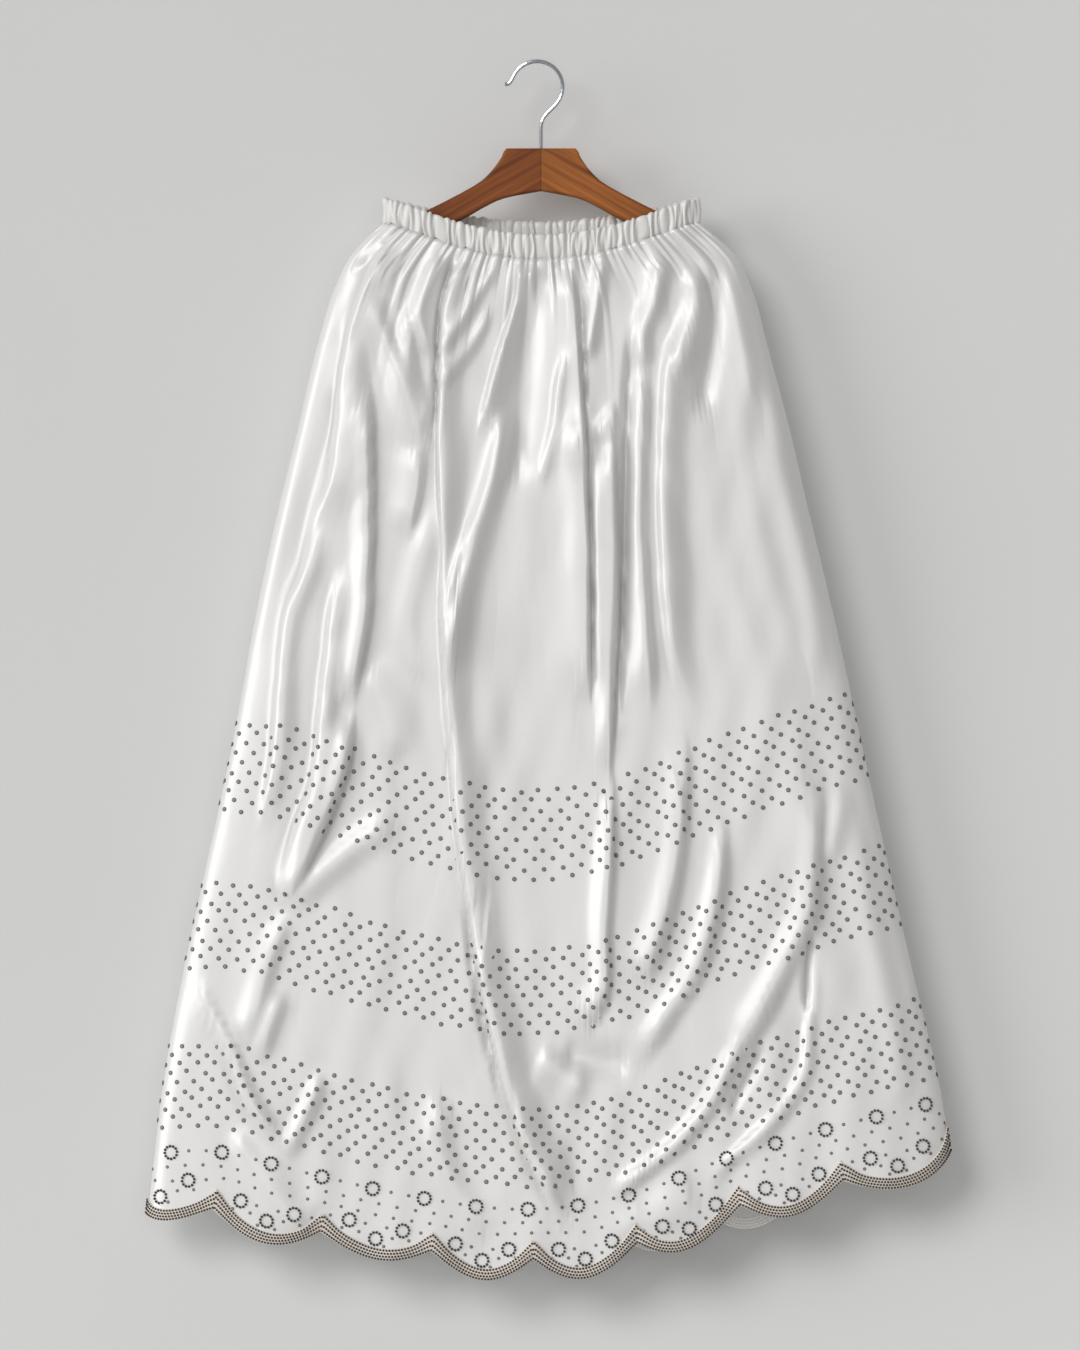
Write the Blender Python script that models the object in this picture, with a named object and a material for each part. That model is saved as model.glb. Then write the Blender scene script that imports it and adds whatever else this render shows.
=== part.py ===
"""A long satin folk-dress skirt, hung by its gathered waist on a wooden hanger.

Z points up, the front faces -Y, and the origin is the inside top of the steel hook, where a rod carries it.
Tables and sizes are in millimetres, with drops measured down from the origin. The meshes are in metres.
"""
import math

import bmesh
import bpy
import numpy as np

MM = 0.001

# Cloth and seams
CLOTH_THICKNESS = 1.5
SEAM_GAP = 0.3
FRONT = -1
BACK = 1

# Waist: a flattened ring of gathered casing, lower in the middle than at its sides
WAIST_HALF_WIDTH = 140.5
WAIST_HALF_DEPTH = 18.0
WAIST_SIDE_DROP = 122.6
WAIST_SAG = {FRONT: 33.0, BACK: 20.0}
WAIST_SAG_POWER = 1.3
CASING_HEIGHT = 20.7
CASING_THICKNESS = 2.0
CASING_BULGE = 0.9
CASING_TUCK = 0.8
CASING_GATHER_HEIGHT = 2.3
SECTION_POWER = 2.7

# Gathers: how many columns of points each one takes, and how far down the skirt it runs
GATHER_COLUMNS = (3, 2, 3, 4, 3, 3)
GATHER_RUNS = (22, 34, 18, 40, 26, 30, 15, 38, 20)
GATHER_ROUNDNESS = 0.7
SKIRT_GATHER_HEIGHT = 2.2

# Half of the skirt's depth, front to back, at fractions of its length
HALF_DEPTHS = ((0.0, 18.0), (0.04, 21.0), (0.12, 26.0), (0.4, 30.0), (0.75, 32.0), (1.0, 34.0))

# The two side seams seen from the front: drop, x of the left one, x of the right one
SIDE_SEAMS = (
    (142.8, -140.5, 140.5),
    (153.6, -153.0, 154.4),
    (170.7, -169.5, 173.4),
    (201.3, -185.4, 189.0),
    (253.5, -201.6, 203.4),
    (330.9, -219.6, 224.1),
    (393.0, -234.9, 238.5),
    (502.8, -258.3, 264.6),
    (593.7, -274.5, 284.4),
    (741.3, -306.0, 316.8),
    (816.0, -322.2, 334.0),
    (928.5, -342.0, 360.0),
    (980.7, -348.3, 368.1),
    (1035.6, -354.6, 374.0),
)

# The scalloped hems seen from the front: x and drop of each point between scallops, then the depth of the
# scallop on its right
HEM_EDGES = {
    FRONT: (
        (-354.6, 1035.6, 9.0),
        (-294.3, 1030.2, 21.6),
        (-198.0, 1050.0, 15.0),
        (-99.0, 1067.1, 20.0),
        (-7.2, 1074.3, 21.6),
        (86.4, 1059.9, 21.0),
        (179.1, 1026.6, 21.0),
        (271.8, 1004.1, 18.0),
        (368.1, 980.7, 0.0),
    ),
    BACK: (
        (-354.6, 1035.6, 9.0),
        (-294.3, 1021.2, 18.0),
        (-198.0, 1041.0, 18.0),
        (-104.4, 1055.4, 18.0),
        (-18.9, 1059.0, 18.0),
        (63.9, 1053.6, 21.6),
        (153.9, 1041.0, 23.0),
        (249.3, 1006.8, 12.0),
        (368.1, 980.7, 0.0),
    ),
}
MIDDLE_SAG = 24.0
EDGE_SLOPE = 0.35

# Rows of points, as fractions of the skirt's length: twice as many columns where the gathers run
COLUMNS_PER_SCALLOP = 8
GATHER_COLUMNS_PER_SCALLOP = 16
GATHER_ROWS = (0.0, 0.010, 0.024, 0.044)
SKIRT_ROWS = {FRONT: 14, BACK: 11}
FIRST_PLAIN_ROW = 0.072
LAST_PLAIN_ROW = 0.918
SCALLOP_START = 0.93
TRIM_TOP = 0.984
SCALLOP_ROWS = (0.952, TRIM_TOP, 1.0)
TRIM_THICKNESS = 1.0

# Folds: height, widths of the left and right flanks, then the points that the crest runs through, each as
# x and drop. A height below zero is a hollow.
FRONT_FOLDS = {
    "left_long_ridge": (8.8, 6, 19, ((-122, 164), (-153, 196), (-170, 245), (-186, 371), (-205, 420))),
    "left_long_hollow": (-4.0, 10, 7, ((-180, 285), (-194, 339), (-212, 402), (-231, 492))),
    "left_long_ridge_low": (7.5, 6, 19, ((-197, 393), (-210, 456), (-227, 496), (-240, 636), (-251, 690))),
    "second_left_ridge": (5.6, 6, 15, ((-179, 447), (-187, 506), (-195, 582), (-218, 690), (-236, 746))),
    "left_wide_ridge": (7.5, 17, 6, ((-159, 276), (-156, 339), (-155, 411), (-166, 542), (-173, 584))),
    "left_wide_ridge_low": (6.9, 15, 6, ((-169, 573), (-178, 632), (-196, 681), (-218, 728), (-238, 751))),
    "left_curl": (5.6, 12, 8, ((-142, 204), (-146, 233), (-135, 263), (-111, 328), (-94, 350))),
    "lap_crease": (-6.5, 6, 6, ((-78, 168), (-85, 200), (-91, 227), (-94, 303), (-93, 339))),
    "long_lap_ridge": (8.8, 6, 17, ((-66, 175), (-89, 240), (-91, 316), (-89, 393), (-85, 564))),
    "long_lap_ridge_middle": (9.4, 6, 20, ((-90, 447), (-86, 519), (-82, 591), (-68, 726), (-57, 798))),
    "long_lap_ridge_low": (10.0, 6, 22, ((-66, 735), (-53, 821), (-39, 885), (0, 1001), (22, 1046))),
    "tapered_lap": (7.5, 6, 12, ((-22, 173), (-19, 193), (-25, 227), (-48, 303), (-58, 337))),
    "join_ridge_low": (7.5, 6, 18, ((-42, 384), (-53, 411), (-68, 463), (-78, 515), (-82, 555))),
    "centre_hollow": (-5.0, 16, 14, ((-13, 186), (-15, 249), (-19, 321), (-22, 393))),
    "middle_ridge": (7.5, 24, 6, ((24, 173), (29, 222), (32, 272), (36, 321), (40, 375))),
    "middle_ridge_low": (8.1, 20, 6, ((33, 303), (39, 366), (41, 447), (42, 519), (42, 586))),
    "deep_crease": (-7.0, 6, 6, ((32, 179), (40, 325), (43, 393), (45, 465), (45, 584))),
    "pleat_ridge": (8.1, 13, 6, ((64, 312), (65, 393), (67, 483), (63, 573), (59, 654))),
    "pleat_ridge_low": (7.5, 14, 6, ((63, 627), (61, 717), (57, 780), (56, 834), (32, 870))),
    "pleat_hollow": (-5.0, 6, 6, ((81, 227), (79, 288), (76, 357), (71, 525), (66, 618))),
    "right_top_ridge": (5.6, 9, 7, ((109, 170), (103, 210), (91, 245), (94, 279))),
    "right_ridge": (6.2, 11, 6, ((93, 267), (90, 339), (90, 450), (94, 519), (98, 580))),
    "right_pair_ridge": (6.9, 6, 16, ((138, 213), (112, 322), (110, 384), (112, 456), (125, 586))),
    "right_top_hollow": (-4.5, 9, 10, ((153, 181), (157, 227), (150, 279), (141, 321))),
    "right_shoulder_ridge": (5.6, 10, 10, ((167, 179), (176, 222), (185, 267), (193, 308))),
    "right_side_ridge": (5.0, 14, 9, ((204, 321), (224, 393), (238, 452), (249, 510), (248, 564))),
    "inner_swag": (6.9, 14, 7, ((129, 600), (123, 695), (112, 758), (100, 798), (86, 827))),
    "middle_swag": (6.9, 16, 8, ((163, 663), (158, 744), (139, 814), (111, 859), (82, 902))),
    "outer_swag": (7.5, 16, 7, ((248, 627), (245, 695), (240, 764), (194, 859), (171, 897))),
    "outer_swag_low": (6.9, 14, 8, ((190, 863), (170, 899), (150, 938), (89, 998), (58, 1019))),
    "side_swag": (5.6, 7, 11, ((249, 807), (238, 899), (227, 924), (205, 953), (143, 1003))),
    "right_hem_ridge": (5.0, 15, 10, ((274, 645), (292, 735), (309, 816), (320, 870), (328, 951))),
    "centre_swag": (4.4, 14, 10, ((-6, 890), (14, 904), (32, 913), (14, 940))),
    "left_swag": (5.6, 6, 10, ((-321, 814), (-300, 852), (-278, 892), (-262, 933), (-233, 974))),
    "left_fan": (5.6, 12, 8, ((-226, 760), (-244, 804), (-256, 846), (-271, 883))),
    "left_sweep": (5.6, 9, 10, ((-127, 679), (-170, 706), (-204, 735), (-233, 758))),
    "left_scoop": (4.4, 10, 12, ((-282, 958), (-258, 989), (-233, 1014), (-202, 1036))),
    "hem_drape": (5.0, 14, 16, ((-82, 924), (-93, 969), (-76, 1014), (-50, 1052))),
    "right_hem_drape": (5.0, 12, 14, ((143, 1001), (104, 1027), (64, 1048))),
}
BACK_FOLDS = {
    "outer_left_ridge": (7.5, 9, 18, ((-150, 176), (-180, 236), (-206, 340), (-226, 440), (-240, 560))),
    "outer_left_low": (6.9, 16, 8, ((-238, 540), (-262, 660), (-280, 780), (-300, 900))),
    "left_hollow": (-5.0, 8, 6, ((-122, 190), (-136, 280), (-150, 400), (-168, 540))),
    "left_ridge": (6.8, 6, 18, ((-98, 174), (-108, 260), (-118, 400), (-126, 560), (-134, 700))),
    "left_low_swag": (6.9, 12, 20, ((-152, 640), (-166, 740), (-160, 850), (-136, 930), (-104, 1000))),
    "inner_left_ridge": (6.2, 12, 6, ((-56, 178), (-56, 260), (-62, 380), (-72, 520))),
    "centre_left_crease": (-6.0, 6, 6, ((-26, 178), (-30, 300), (-34, 440), (-38, 620))),
    "centre_ridge": (8.1, 20, 6, ((4, 174), (4, 300), (6, 460), (12, 640), (18, 780))),
    "centre_low_ridge": (8.8, 6, 22, ((-64, 600), (-58, 720), (-46, 840), (-30, 940), (-12, 1040))),
    "centre_right_crease": (-6.0, 6, 6, ((46, 178), (52, 260), (56, 380), (60, 560))),
    "inner_right_ridge": (7.5, 6, 16, ((70, 178), (78, 280), (86, 420), (94, 580), (104, 720))),
    "right_hollow": (-5.0, 7, 8, ((110, 190), (122, 290), (132, 420), (140, 560))),
    "right_ridge": (7.5, 14, 6, ((134, 174), (154, 250), (170, 360), (182, 480), (194, 600))),
    "outer_right_ridge": (6.2, 12, 9, ((160, 190), (196, 290), (220, 400), (240, 520), (256, 640))),
    "right_low_swag": (7.5, 16, 8, ((262, 640), (268, 740), (252, 830), (220, 900), (178, 970))),
    "inner_low_swag": (6.2, 14, 8, ((150, 690), (152, 780), (138, 870), (112, 950), (84, 1010))),
    "edge_low_ridge": (5.0, 12, 9, ((298, 740), (310, 830), (320, 900), (328, 960))),
    "left_fan": (5.6, 9, 12, ((-210, 740), (-236, 800), (-262, 850), (-290, 900))),
}

# The narrowest flank that the panels' columns carry, and how the folds fade at their ends and at the waist
NARROWEST_FLANK = 8.0
FOLD_STEPS = 24
FOLD_FADE = 0.22
FOLD_TOP_FADE = 0.03

# Hanger: half of its outline from the middle out, as x and drop, in a board with rounded edges
HANGER_THICKNESS = 12.0
HANGER_EDGE_ROUND = 2.0
HANGER_SHOULDER = (31.0, 76.7)
HANGER_TOP_EDGE = ((33.6, 79.6), (36.4, 86.0), (45.9, 98.6), (60.3, 110.4), (101.7, 132.0), (143.2, 149.9))
HANGER_LOW_EDGE = ((133.4, 168.7), (74.7, 142.4), (51.3, 129.6), (32.4, 121.2), (0.0, 115.0))
HANGER_TIP_ROUND = 6
HANGER_CURVE_STEPS = 3

# Hook: steel wire, an open ring over a stem that runs down into the hanger, with its free tip curled out
WIRE_RADIUS = 2.0
WIRE_ROUNDING = 3
RING_RADIUS = 23.2
RING_CENTRE_X = -3.6
RING_START = math.radians(156.0)
RING_END = math.radians(-38.0)
RING_STEPS = 18
TIP_GUIDES = ((-32.4, 18.6), (-28.6, 19.2), (-26.8, 16.2))
STEM_GUIDES = ((9.1, 42.6), (0.0, 47.0), (0.0, 57.0))
BEND_STEPS = 6
STEM_HOLE_DEPTH = 14.0
STEM_FIT = 0.3
HOLE_SIDES = 16


def clear_scene():
    """Remove the objects that the file opened with."""
    for item in list(bpy.data.objects):
        bpy.data.objects.remove(item, do_unlink=True)


def make_material(name, colour, roughness, metallic):
    """A plain finish in the part's own colour."""
    material = bpy.data.materials.new(name)
    material.use_nodes = True
    shader = material.node_tree.nodes["Principled BSDF"]
    shader.inputs["Base Color"].default_value = (*colour, 1.0)
    shader.inputs["Roughness"].default_value = roughness
    shader.inputs["Metallic"].default_value = metallic
    return material


def make_object(name, points, faces, material, sharp_degrees=40.0):
    """One closed body from points in millimetres, its faces pointing out."""
    mesh = bpy.data.meshes.new(name)
    mesh.from_pydata([tuple(point) for point in np.asarray(points) * MM], [], faces)
    shape = bmesh.new()
    shape.from_mesh(mesh)
    bmesh.ops.recalc_face_normals(shape, faces=shape.faces)
    shape.to_mesh(mesh)
    shape.free()
    mesh.shade_smooth()
    mesh.set_sharp_from_angle(angle=math.radians(sharp_degrees))
    mesh.materials.append(material)
    item = bpy.data.objects.new(name, mesh)
    bpy.context.scene.collection.objects.link(item)
    return item


def smooth_step(value):
    """Ease from 0 to 1 as the value goes from 0 to 1."""
    value = np.clip(value, 0.0, 1.0)
    return value * value * (3.0 - 2.0 * value)


def curve_through(knots, values, at, end_slope=1.0):
    """A smooth curve through the values at the knots, flatter at its two ends where end_slope is small."""
    knots = np.asarray(knots, float)
    values = np.asarray(values, float)
    steps = np.diff(knots)
    secants = np.diff(values) / steps
    inner = (secants[:-1] * steps[1:] + secants[1:] * steps[:-1]) / (steps[:-1] + steps[1:])
    slopes = np.concatenate(([secants[0] * end_slope], inner, [secants[-1] * end_slope]))
    at = np.clip(at, knots[0], knots[-1])
    span = np.clip(np.searchsorted(knots, at, side="right") - 1, 0, len(steps) - 1)
    t = (at - knots[span]) / steps[span]
    rise = values[span] * (1 + 2 * t) * (1 - t) ** 2 + values[span + 1] * (3 - 2 * t) * t ** 2
    bend = slopes[span] * t * (1 - t) ** 2 - slopes[span + 1] * t ** 2 * (1 - t)
    return rise + bend * steps[span]


def section_depth(across):
    """Depth of the flattened ring at a place across it from -1 to 1, as a share of its half depth."""
    return np.maximum(1.0 - np.abs(across) ** SECTION_POWER, 0.0) ** (1.0 / SECTION_POWER)


def waist_across(u):
    """Place across the waist, from -1 to 1, of a share u of the cloth, spread evenly along the ring."""
    across = -np.cos(np.linspace(0.0, math.pi, 721))
    run_x = np.diff(across) * WAIST_HALF_WIDTH
    run_y = np.diff(section_depth(across)) * WAIST_HALF_DEPTH
    length = np.concatenate(([0.0], np.cumsum(np.hypot(run_x, run_y))))
    return np.interp(u, length / length[-1], across)


def casing_top_drop(side, across):
    """Drop of the casing's upper edge, which sags between the hanger's arms."""
    sag = np.maximum(1.0 - across ** 2, 0.0) ** WAIST_SAG_POWER
    return WAIST_SIDE_DROP + WAIST_SAG[side] * sag


def scallop_drop(side, u):
    """How far the scallops hang below the line between their ends."""
    depths = np.array([row[2] for row in HEM_EDGES[side]])
    place = np.clip(u, 0.0, 1.0) * (len(depths) - 1)
    scallop = np.minimum(place.astype(int), len(depths) - 2)
    return depths[scallop] * np.sin(math.pi * (place - scallop))


def fold_height(folds, x, drop):
    """Sum of the ridges and hollows at points given by x and drop."""
    height = np.zeros_like(x)
    t = np.linspace(0.0, 1.0, FOLD_STEPS)
    ends = smooth_step(t / FOLD_FADE) * smooth_step((1.0 - t) / FOLD_FADE)
    for tall, left, right, path in folds.values():
        knots = np.linspace(0.0, 1.0, len(path))
        line_x, line_drop = (curve_through(knots, values, t) for values in zip(*path))
        away_x = x[..., None] - line_x
        away_drop = drop[..., None] - line_drop
        nearest = np.argmin(away_x ** 2 + away_drop ** 2, axis=-1)[..., None]
        away_x = np.take_along_axis(away_x, nearest, axis=-1)[..., 0]
        away_drop = np.take_along_axis(away_drop, nearest, axis=-1)[..., 0]
        distance = np.hypot(away_x, away_drop)
        width = np.maximum(np.where(away_x < 0.0, left, right), NARROWEST_FLANK)
        height += tall * ends[nearest[..., 0]] * np.exp(-(distance / width) ** 2)
    return height


def skirt_surface(side, u, s):
    """Points of one panel at a share u across from the left seam and a share s of its length down."""
    hem = np.array(HEM_EDGES[side])
    cusps = np.linspace(0.0, 1.0, len(hem))
    hem_x = curve_through(cusps, hem[:, 0], u, EDGE_SLOPE)
    hem_across = 2.0 * (hem_x - hem[0, 0]) / (hem[-1, 0] - hem[0, 0]) - 1.0
    across = waist_across(u) + (hem_across - waist_across(u)) * s
    top = casing_top_drop(side, waist_across(u)) + CASING_HEIGHT
    length = curve_through(cusps, hem[:, 1], u) - top
    middle = np.maximum(1.0 - across ** 2, 0.0) ** 2
    drop = top + length * s + MIDDLE_SAG * middle * np.sin(math.pi * np.clip(s, 0.0, 1.0)) ** 0.6
    ramp = smooth_step((s - SCALLOP_START) / (TRIM_TOP - SCALLOP_START))
    seams = np.array(SIDE_SEAMS)
    side_top = WAIST_SIDE_DROP + CASING_HEIGHT
    left = curve_through(seams[:, 0], seams[:, 1], side_top + (hem[0, 1] - side_top) * s)
    right = curve_through(seams[:, 0], seams[:, 2], side_top + (hem[-1, 1] - side_top) * s)
    x = left + (right - left) * (across + 1.0) / 2.0
    shares, depths = np.array(HALF_DEPTHS).T
    depth = curve_through(shares, depths, s) * section_depth(across)
    folds = FRONT_FOLDS if side == FRONT else BACK_FOLDS
    clear_of_seams = 1.0 - np.abs(across) ** 8
    depth += fold_height(folds, x, drop) * clear_of_seams * smooth_step(s / FOLD_TOP_FADE)
    drop = drop + scallop_drop(side, u) * ramp
    return np.stack([x, side * (depth + SEAM_GAP / 2), -drop], axis=-1)


def outward(side, points):
    """Directions out of the cloth at a grid of points, level at the waist and straight out at the seams."""
    along = np.gradient(points, axis=1)
    down = np.gradient(points, axis=0)
    out = np.cross(down, along) * -side
    out[0, :, 2] = 0.0
    out[:, 0, 1] = 0.0
    out[:, -1, 1] = 0.0
    return out / np.linalg.norm(out, axis=-1, keepdims=True)


def gather_lobes(columns):
    """Height from 0 to 1 of the gathers at each column across one side, and how far down each one runs."""
    heights = np.zeros(columns + 1)
    runs = np.full(columns + 1, float(GATHER_RUNS[0]))
    start = 0
    gather = 0
    while start < columns:
        width = min(GATHER_COLUMNS[gather % len(GATHER_COLUMNS)], columns - start)
        for step in range(1, width):
            heights[start + step] = math.sin(math.pi * step / width) ** GATHER_ROUNDNESS
        runs[start:start + width] = GATHER_RUNS[gather % len(GATHER_RUNS)]
        start += width
        gather += 1
    return heights, runs


def stitch(upper, lower):
    """Triangles between two rows of point numbers, the upper as fine as the lower or twice as fine."""
    step = (len(upper) - 1) // (len(lower) - 1)
    triangles = []
    for column in range(len(lower) - 1):
        left, right = upper[column * step], upper[(column + 1) * step]
        low_left, low_right = lower[column], lower[column + 1]
        if step == 1:
            triangles += [(left, low_left, right), (right, low_left, low_right)]
        else:
            middle = upper[column * step + 1]
            triangles += [(left, low_left, middle), (middle, low_left, low_right), (middle, low_right, right)]
    return triangles


def sheet_solid(name, outer_rows, inner_rows, material):
    """A closed sheet of cloth between two sets of rows of points."""
    points = np.concatenate(list(outer_rows) + list(inner_rows))
    numbers = []
    start = 0
    for row in list(outer_rows) + list(inner_rows):
        numbers.append(list(range(start, start + len(row))))
        start += len(row)
    outer, inner = numbers[:len(outer_rows)], numbers[len(outer_rows):]
    faces = []
    for upper, lower, deep_upper, deep_lower in zip(outer, outer[1:], inner, inner[1:]):
        faces += stitch(upper, lower)
        faces += [triangle[::-1] for triangle in stitch(deep_upper, deep_lower)]
        faces.append((upper[0], deep_upper[0], deep_lower[0], lower[0]))
        faces.append((upper[-1], lower[-1], deep_lower[-1], deep_upper[-1]))
    faces += [triangle[::-1] for triangle in stitch(outer[0], inner[0])]
    faces += stitch(outer[-1], inner[-1])
    return make_object(name, points, faces, material)


def panel_grid(side):
    """The cloth's points, its outward directions, and the height of the gathers, for one panel."""
    columns = GATHER_COLUMNS_PER_SCALLOP * (len(HEM_EDGES[side]) - 1)
    plain = np.linspace(FIRST_PLAIN_ROW, LAST_PLAIN_ROW, SKIRT_ROWS[side])
    s = np.concatenate((GATHER_ROWS, plain, SCALLOP_ROWS))
    u = np.linspace(0.0, 1.0, columns + 1)
    cloth = skirt_surface(side, *np.meshgrid(u, s))
    heights, runs = gather_lobes(columns)
    below_waist = cloth[0, :, 2] - cloth[:, :, 2]
    raised = SKIRT_GATHER_HEIGHT * heights * np.exp(-(below_waist / runs) ** 2)
    return cloth, outward(side, cloth), raised[..., None]


def row_points(grid):
    """Rows of one panel: all columns where the gathers run, every second one below them."""
    step = GATHER_COLUMNS_PER_SCALLOP // COLUMNS_PER_SCALLOP
    return [row if number < len(GATHER_ROWS) else row[::step] for number, row in enumerate(grid)]


def make_panel_and_trim(side, panel_name, trim_name, satin, beading):
    """One half of the skirt, and the beaded tape that follows its scallops just outside it."""
    cloth, out, raised = panel_grid(side)
    outer = row_points(cloth + out * raised)
    inner = row_points(cloth - out * CLOTH_THICKNESS)
    panel = sheet_solid(panel_name, outer, inner, satin)
    edge = outer[-2:]
    away = row_points(out)[-2:]
    tape_inner = [points + direction * SEAM_GAP for points, direction in zip(edge, away)]
    tape_outer = [points + direction * TRIM_THICKNESS for points, direction in zip(tape_inner, away)]
    trim = sheet_solid(trim_name, tape_outer, tape_inner, beading)
    return panel, trim


def make_waist_casing(satin):
    """The gathered tube round the waist: a closed ring of puckered cloth."""
    columns = GATHER_COLUMNS_PER_SCALLOP * (len(HEM_EDGES[FRONT]) - 1)
    lobes = gather_lobes(columns)[0]
    across = waist_across(np.linspace(0.0, 1.0, columns + 1))
    halves = []
    for side in (FRONT, BACK):
        depth = side * section_depth(across) * WAIST_HALF_DEPTH
        top = -casing_top_drop(side, across)
        halves.append(np.stack([across * WAIST_HALF_WIDTH, depth, top, lobes], axis=-1))
    ring = np.concatenate((halves[0][:-1], halves[1][:0:-1]))
    along = np.roll(ring, -1, axis=0) - np.roll(ring, 1, axis=0)
    out = np.stack([along[:, 1], -along[:, 0], np.zeros(len(ring))], axis=-1)
    out /= np.linalg.norm(out, axis=-1, keepdims=True)
    gather = ring[:, 3:]
    top_edge = ring[:, :3]
    down = np.array([0.0, 0.0, -CASING_HEIGHT])
    clear = np.array([0.0, 0.0, SEAM_GAP])
    raised = CASING_GATHER_HEIGHT * gather
    rows = [
        top_edge + down + clear + out * raised,
        top_edge + down / 2 + out * (CASING_BULGE + raised),
        top_edge + out * (raised / 2 - CASING_TUCK),
        top_edge - out * CASING_THICKNESS,
        top_edge + down + clear - out * CASING_THICKNESS,
    ]
    count = len(ring)
    faces = []
    for level in range(len(rows)):
        start, following = level * count, (level + 1) % len(rows) * count
        for column in range(count):
            after = (column + 1) % count
            faces.append((start + column, start + after, following + after, following + column))
    return make_object("waist_casing", np.concatenate(rows), faces, satin)


def hanger_edge(points):
    """A smooth line through points along one edge of the hanger."""
    knots = np.arange(len(points))
    at = np.linspace(0, len(points) - 1, (len(points) - 1) * HANGER_CURVE_STEPS + 1)
    xs, drops = np.array(points).T
    return list(zip(curve_through(knots, xs, at), curve_through(knots, drops, at)))


def make_hanger(wood):
    """The wooden board: two arms that slope down to rounded tips, with a hole on top for the stem."""
    top = hanger_edge(HANGER_TOP_EDGE)
    low = hanger_edge(HANGER_LOW_EDGE)
    tip_x = (top[-1][0] + low[0][0]) / 2
    tip_drop = (top[-1][1] + low[0][1]) / 2
    radius = math.dist(top[-1], low[0]) / 2
    start = math.atan2(top[-1][1] - tip_drop, top[-1][0] - tip_x)
    turns = np.linspace(0.0, math.pi, HANGER_TIP_ROUND + 1)[1:-1] + start
    tip = [(tip_x + radius * math.cos(turn), tip_drop + radius * math.sin(turn)) for turn in turns]
    half = [HANGER_SHOULDER] + top + tip + low
    outline = half + [(-x, drop) for x, drop in half[-2::-1]]
    count = len(outline)
    points = [(x, y, -drop) for y in (-HANGER_THICKNESS / 2, HANGER_THICKNESS / 2) for x, drop in outline]
    faces = [tuple(range(count)), tuple(range(2 * count - 1, count - 1, -1))]
    faces += [(n, (n + 1) % count, (n + 1) % count + count, n + count) for n in range(count)]
    hanger = make_object("hanger_wood", points, faces, wood)
    edge = hanger.modifiers.new("rounded edges", "BEVEL")
    edge.width = HANGER_EDGE_ROUND * MM
    edge.segments = 2
    edge.limit_method = "ANGLE"
    edge.angle_limit = math.radians(50.0)
    bpy.ops.mesh.primitive_cylinder_add(
        vertices=HOLE_SIDES,
        radius=(WIRE_RADIUS + STEM_FIT) * MM,
        depth=2 * STEM_HOLE_DEPTH * MM,
        location=(0.0, 0.0, -HANGER_SHOULDER[1] * MM),
    )
    cutter = bpy.context.object
    cutter.name = "stem_hole"
    cutter.hide_render = True
    cutter.display_type = "WIRE"
    hole = hanger.modifiers.new("stem hole", "BOOLEAN")
    hole.operation = "DIFFERENCE"
    hole.solver = "EXACT"
    hole.object = cutter
    return hanger


def bend_points(start, guide, far_guide, end):
    """Points along a smooth bend in the wire, its start left out."""
    corners = np.array([start, guide, far_guide, end])
    points = []
    for t in np.linspace(0.0, 1.0, BEND_STEPS + 1)[1:]:
        weights = np.array([(1 - t) ** 3, 3 * t * (1 - t) ** 2, 3 * t ** 2 * (1 - t), t ** 3])
        points.append(tuple(weights @ corners))
    return points


def make_hook(steel):
    """The wire hook: a curled tip, an open ring, an offset bend and a straight stem into the board."""
    centre_drop = RING_RADIUS - WIRE_RADIUS
    ring = []
    for angle in np.linspace(RING_START, RING_END, RING_STEPS + 1):
        ring.append((RING_CENTRE_X + RING_RADIUS * math.cos(angle), centre_drop - RING_RADIUS * math.sin(angle)))
    tip = [TIP_GUIDES[0]] + bend_points(*TIP_GUIDES, ring[0])[:-1]
    stem = bend_points(ring[-1], *STEM_GUIDES)
    foot = (0.0, HANGER_SHOULDER[1] + STEM_HOLE_DEPTH - STEM_FIT)
    route = tip + ring + stem + [foot]
    curve = bpy.data.curves.new("hanger_hook", "CURVE")
    curve.dimensions = "3D"
    curve.bevel_depth = WIRE_RADIUS * MM
    curve.bevel_resolution = WIRE_ROUNDING
    curve.use_fill_caps = True
    spline = curve.splines.new("POLY")
    spline.points.add(len(route) - 1)
    for point, (x, drop) in zip(spline.points, route):
        point.co = (x * MM, 0.0, -drop * MM, 1.0)
    spline.use_smooth = True
    curve.materials.append(steel)
    hook = bpy.data.objects.new("hanger_hook", curve)
    bpy.context.scene.collection.objects.link(hook)
    return hook


def main():
    clear_scene()
    satin = make_material("white_satin", (0.86, 0.86, 0.84), 0.3, 0.0)
    beading = make_material("beaded_tape", (0.42, 0.35, 0.29), 0.45, 0.1)
    wood = make_material("oiled_wood", (0.33, 0.13, 0.05), 0.45, 0.0)
    steel = make_material("bright_steel", (0.62, 0.62, 0.62), 0.22, 1.0)
    make_hook(steel)
    make_hanger(wood)
    make_waist_casing(satin)
    make_panel_and_trim(FRONT, "front_panel", "front_hem_trim", satin, beading)
    make_panel_and_trim(BACK, "back_panel", "back_hem_trim", satin, beading)


main()
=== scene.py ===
"""A long white satin skirt on its wooden hanger: finishes, fine folds, studs and beads.

Z points up, the front faces -Y, and the origin is the inside top of the hook. Tables of the cloth's shape
are in millimetres, with drops measured down from the origin, and everything made is in metres.
"""

import math

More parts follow.
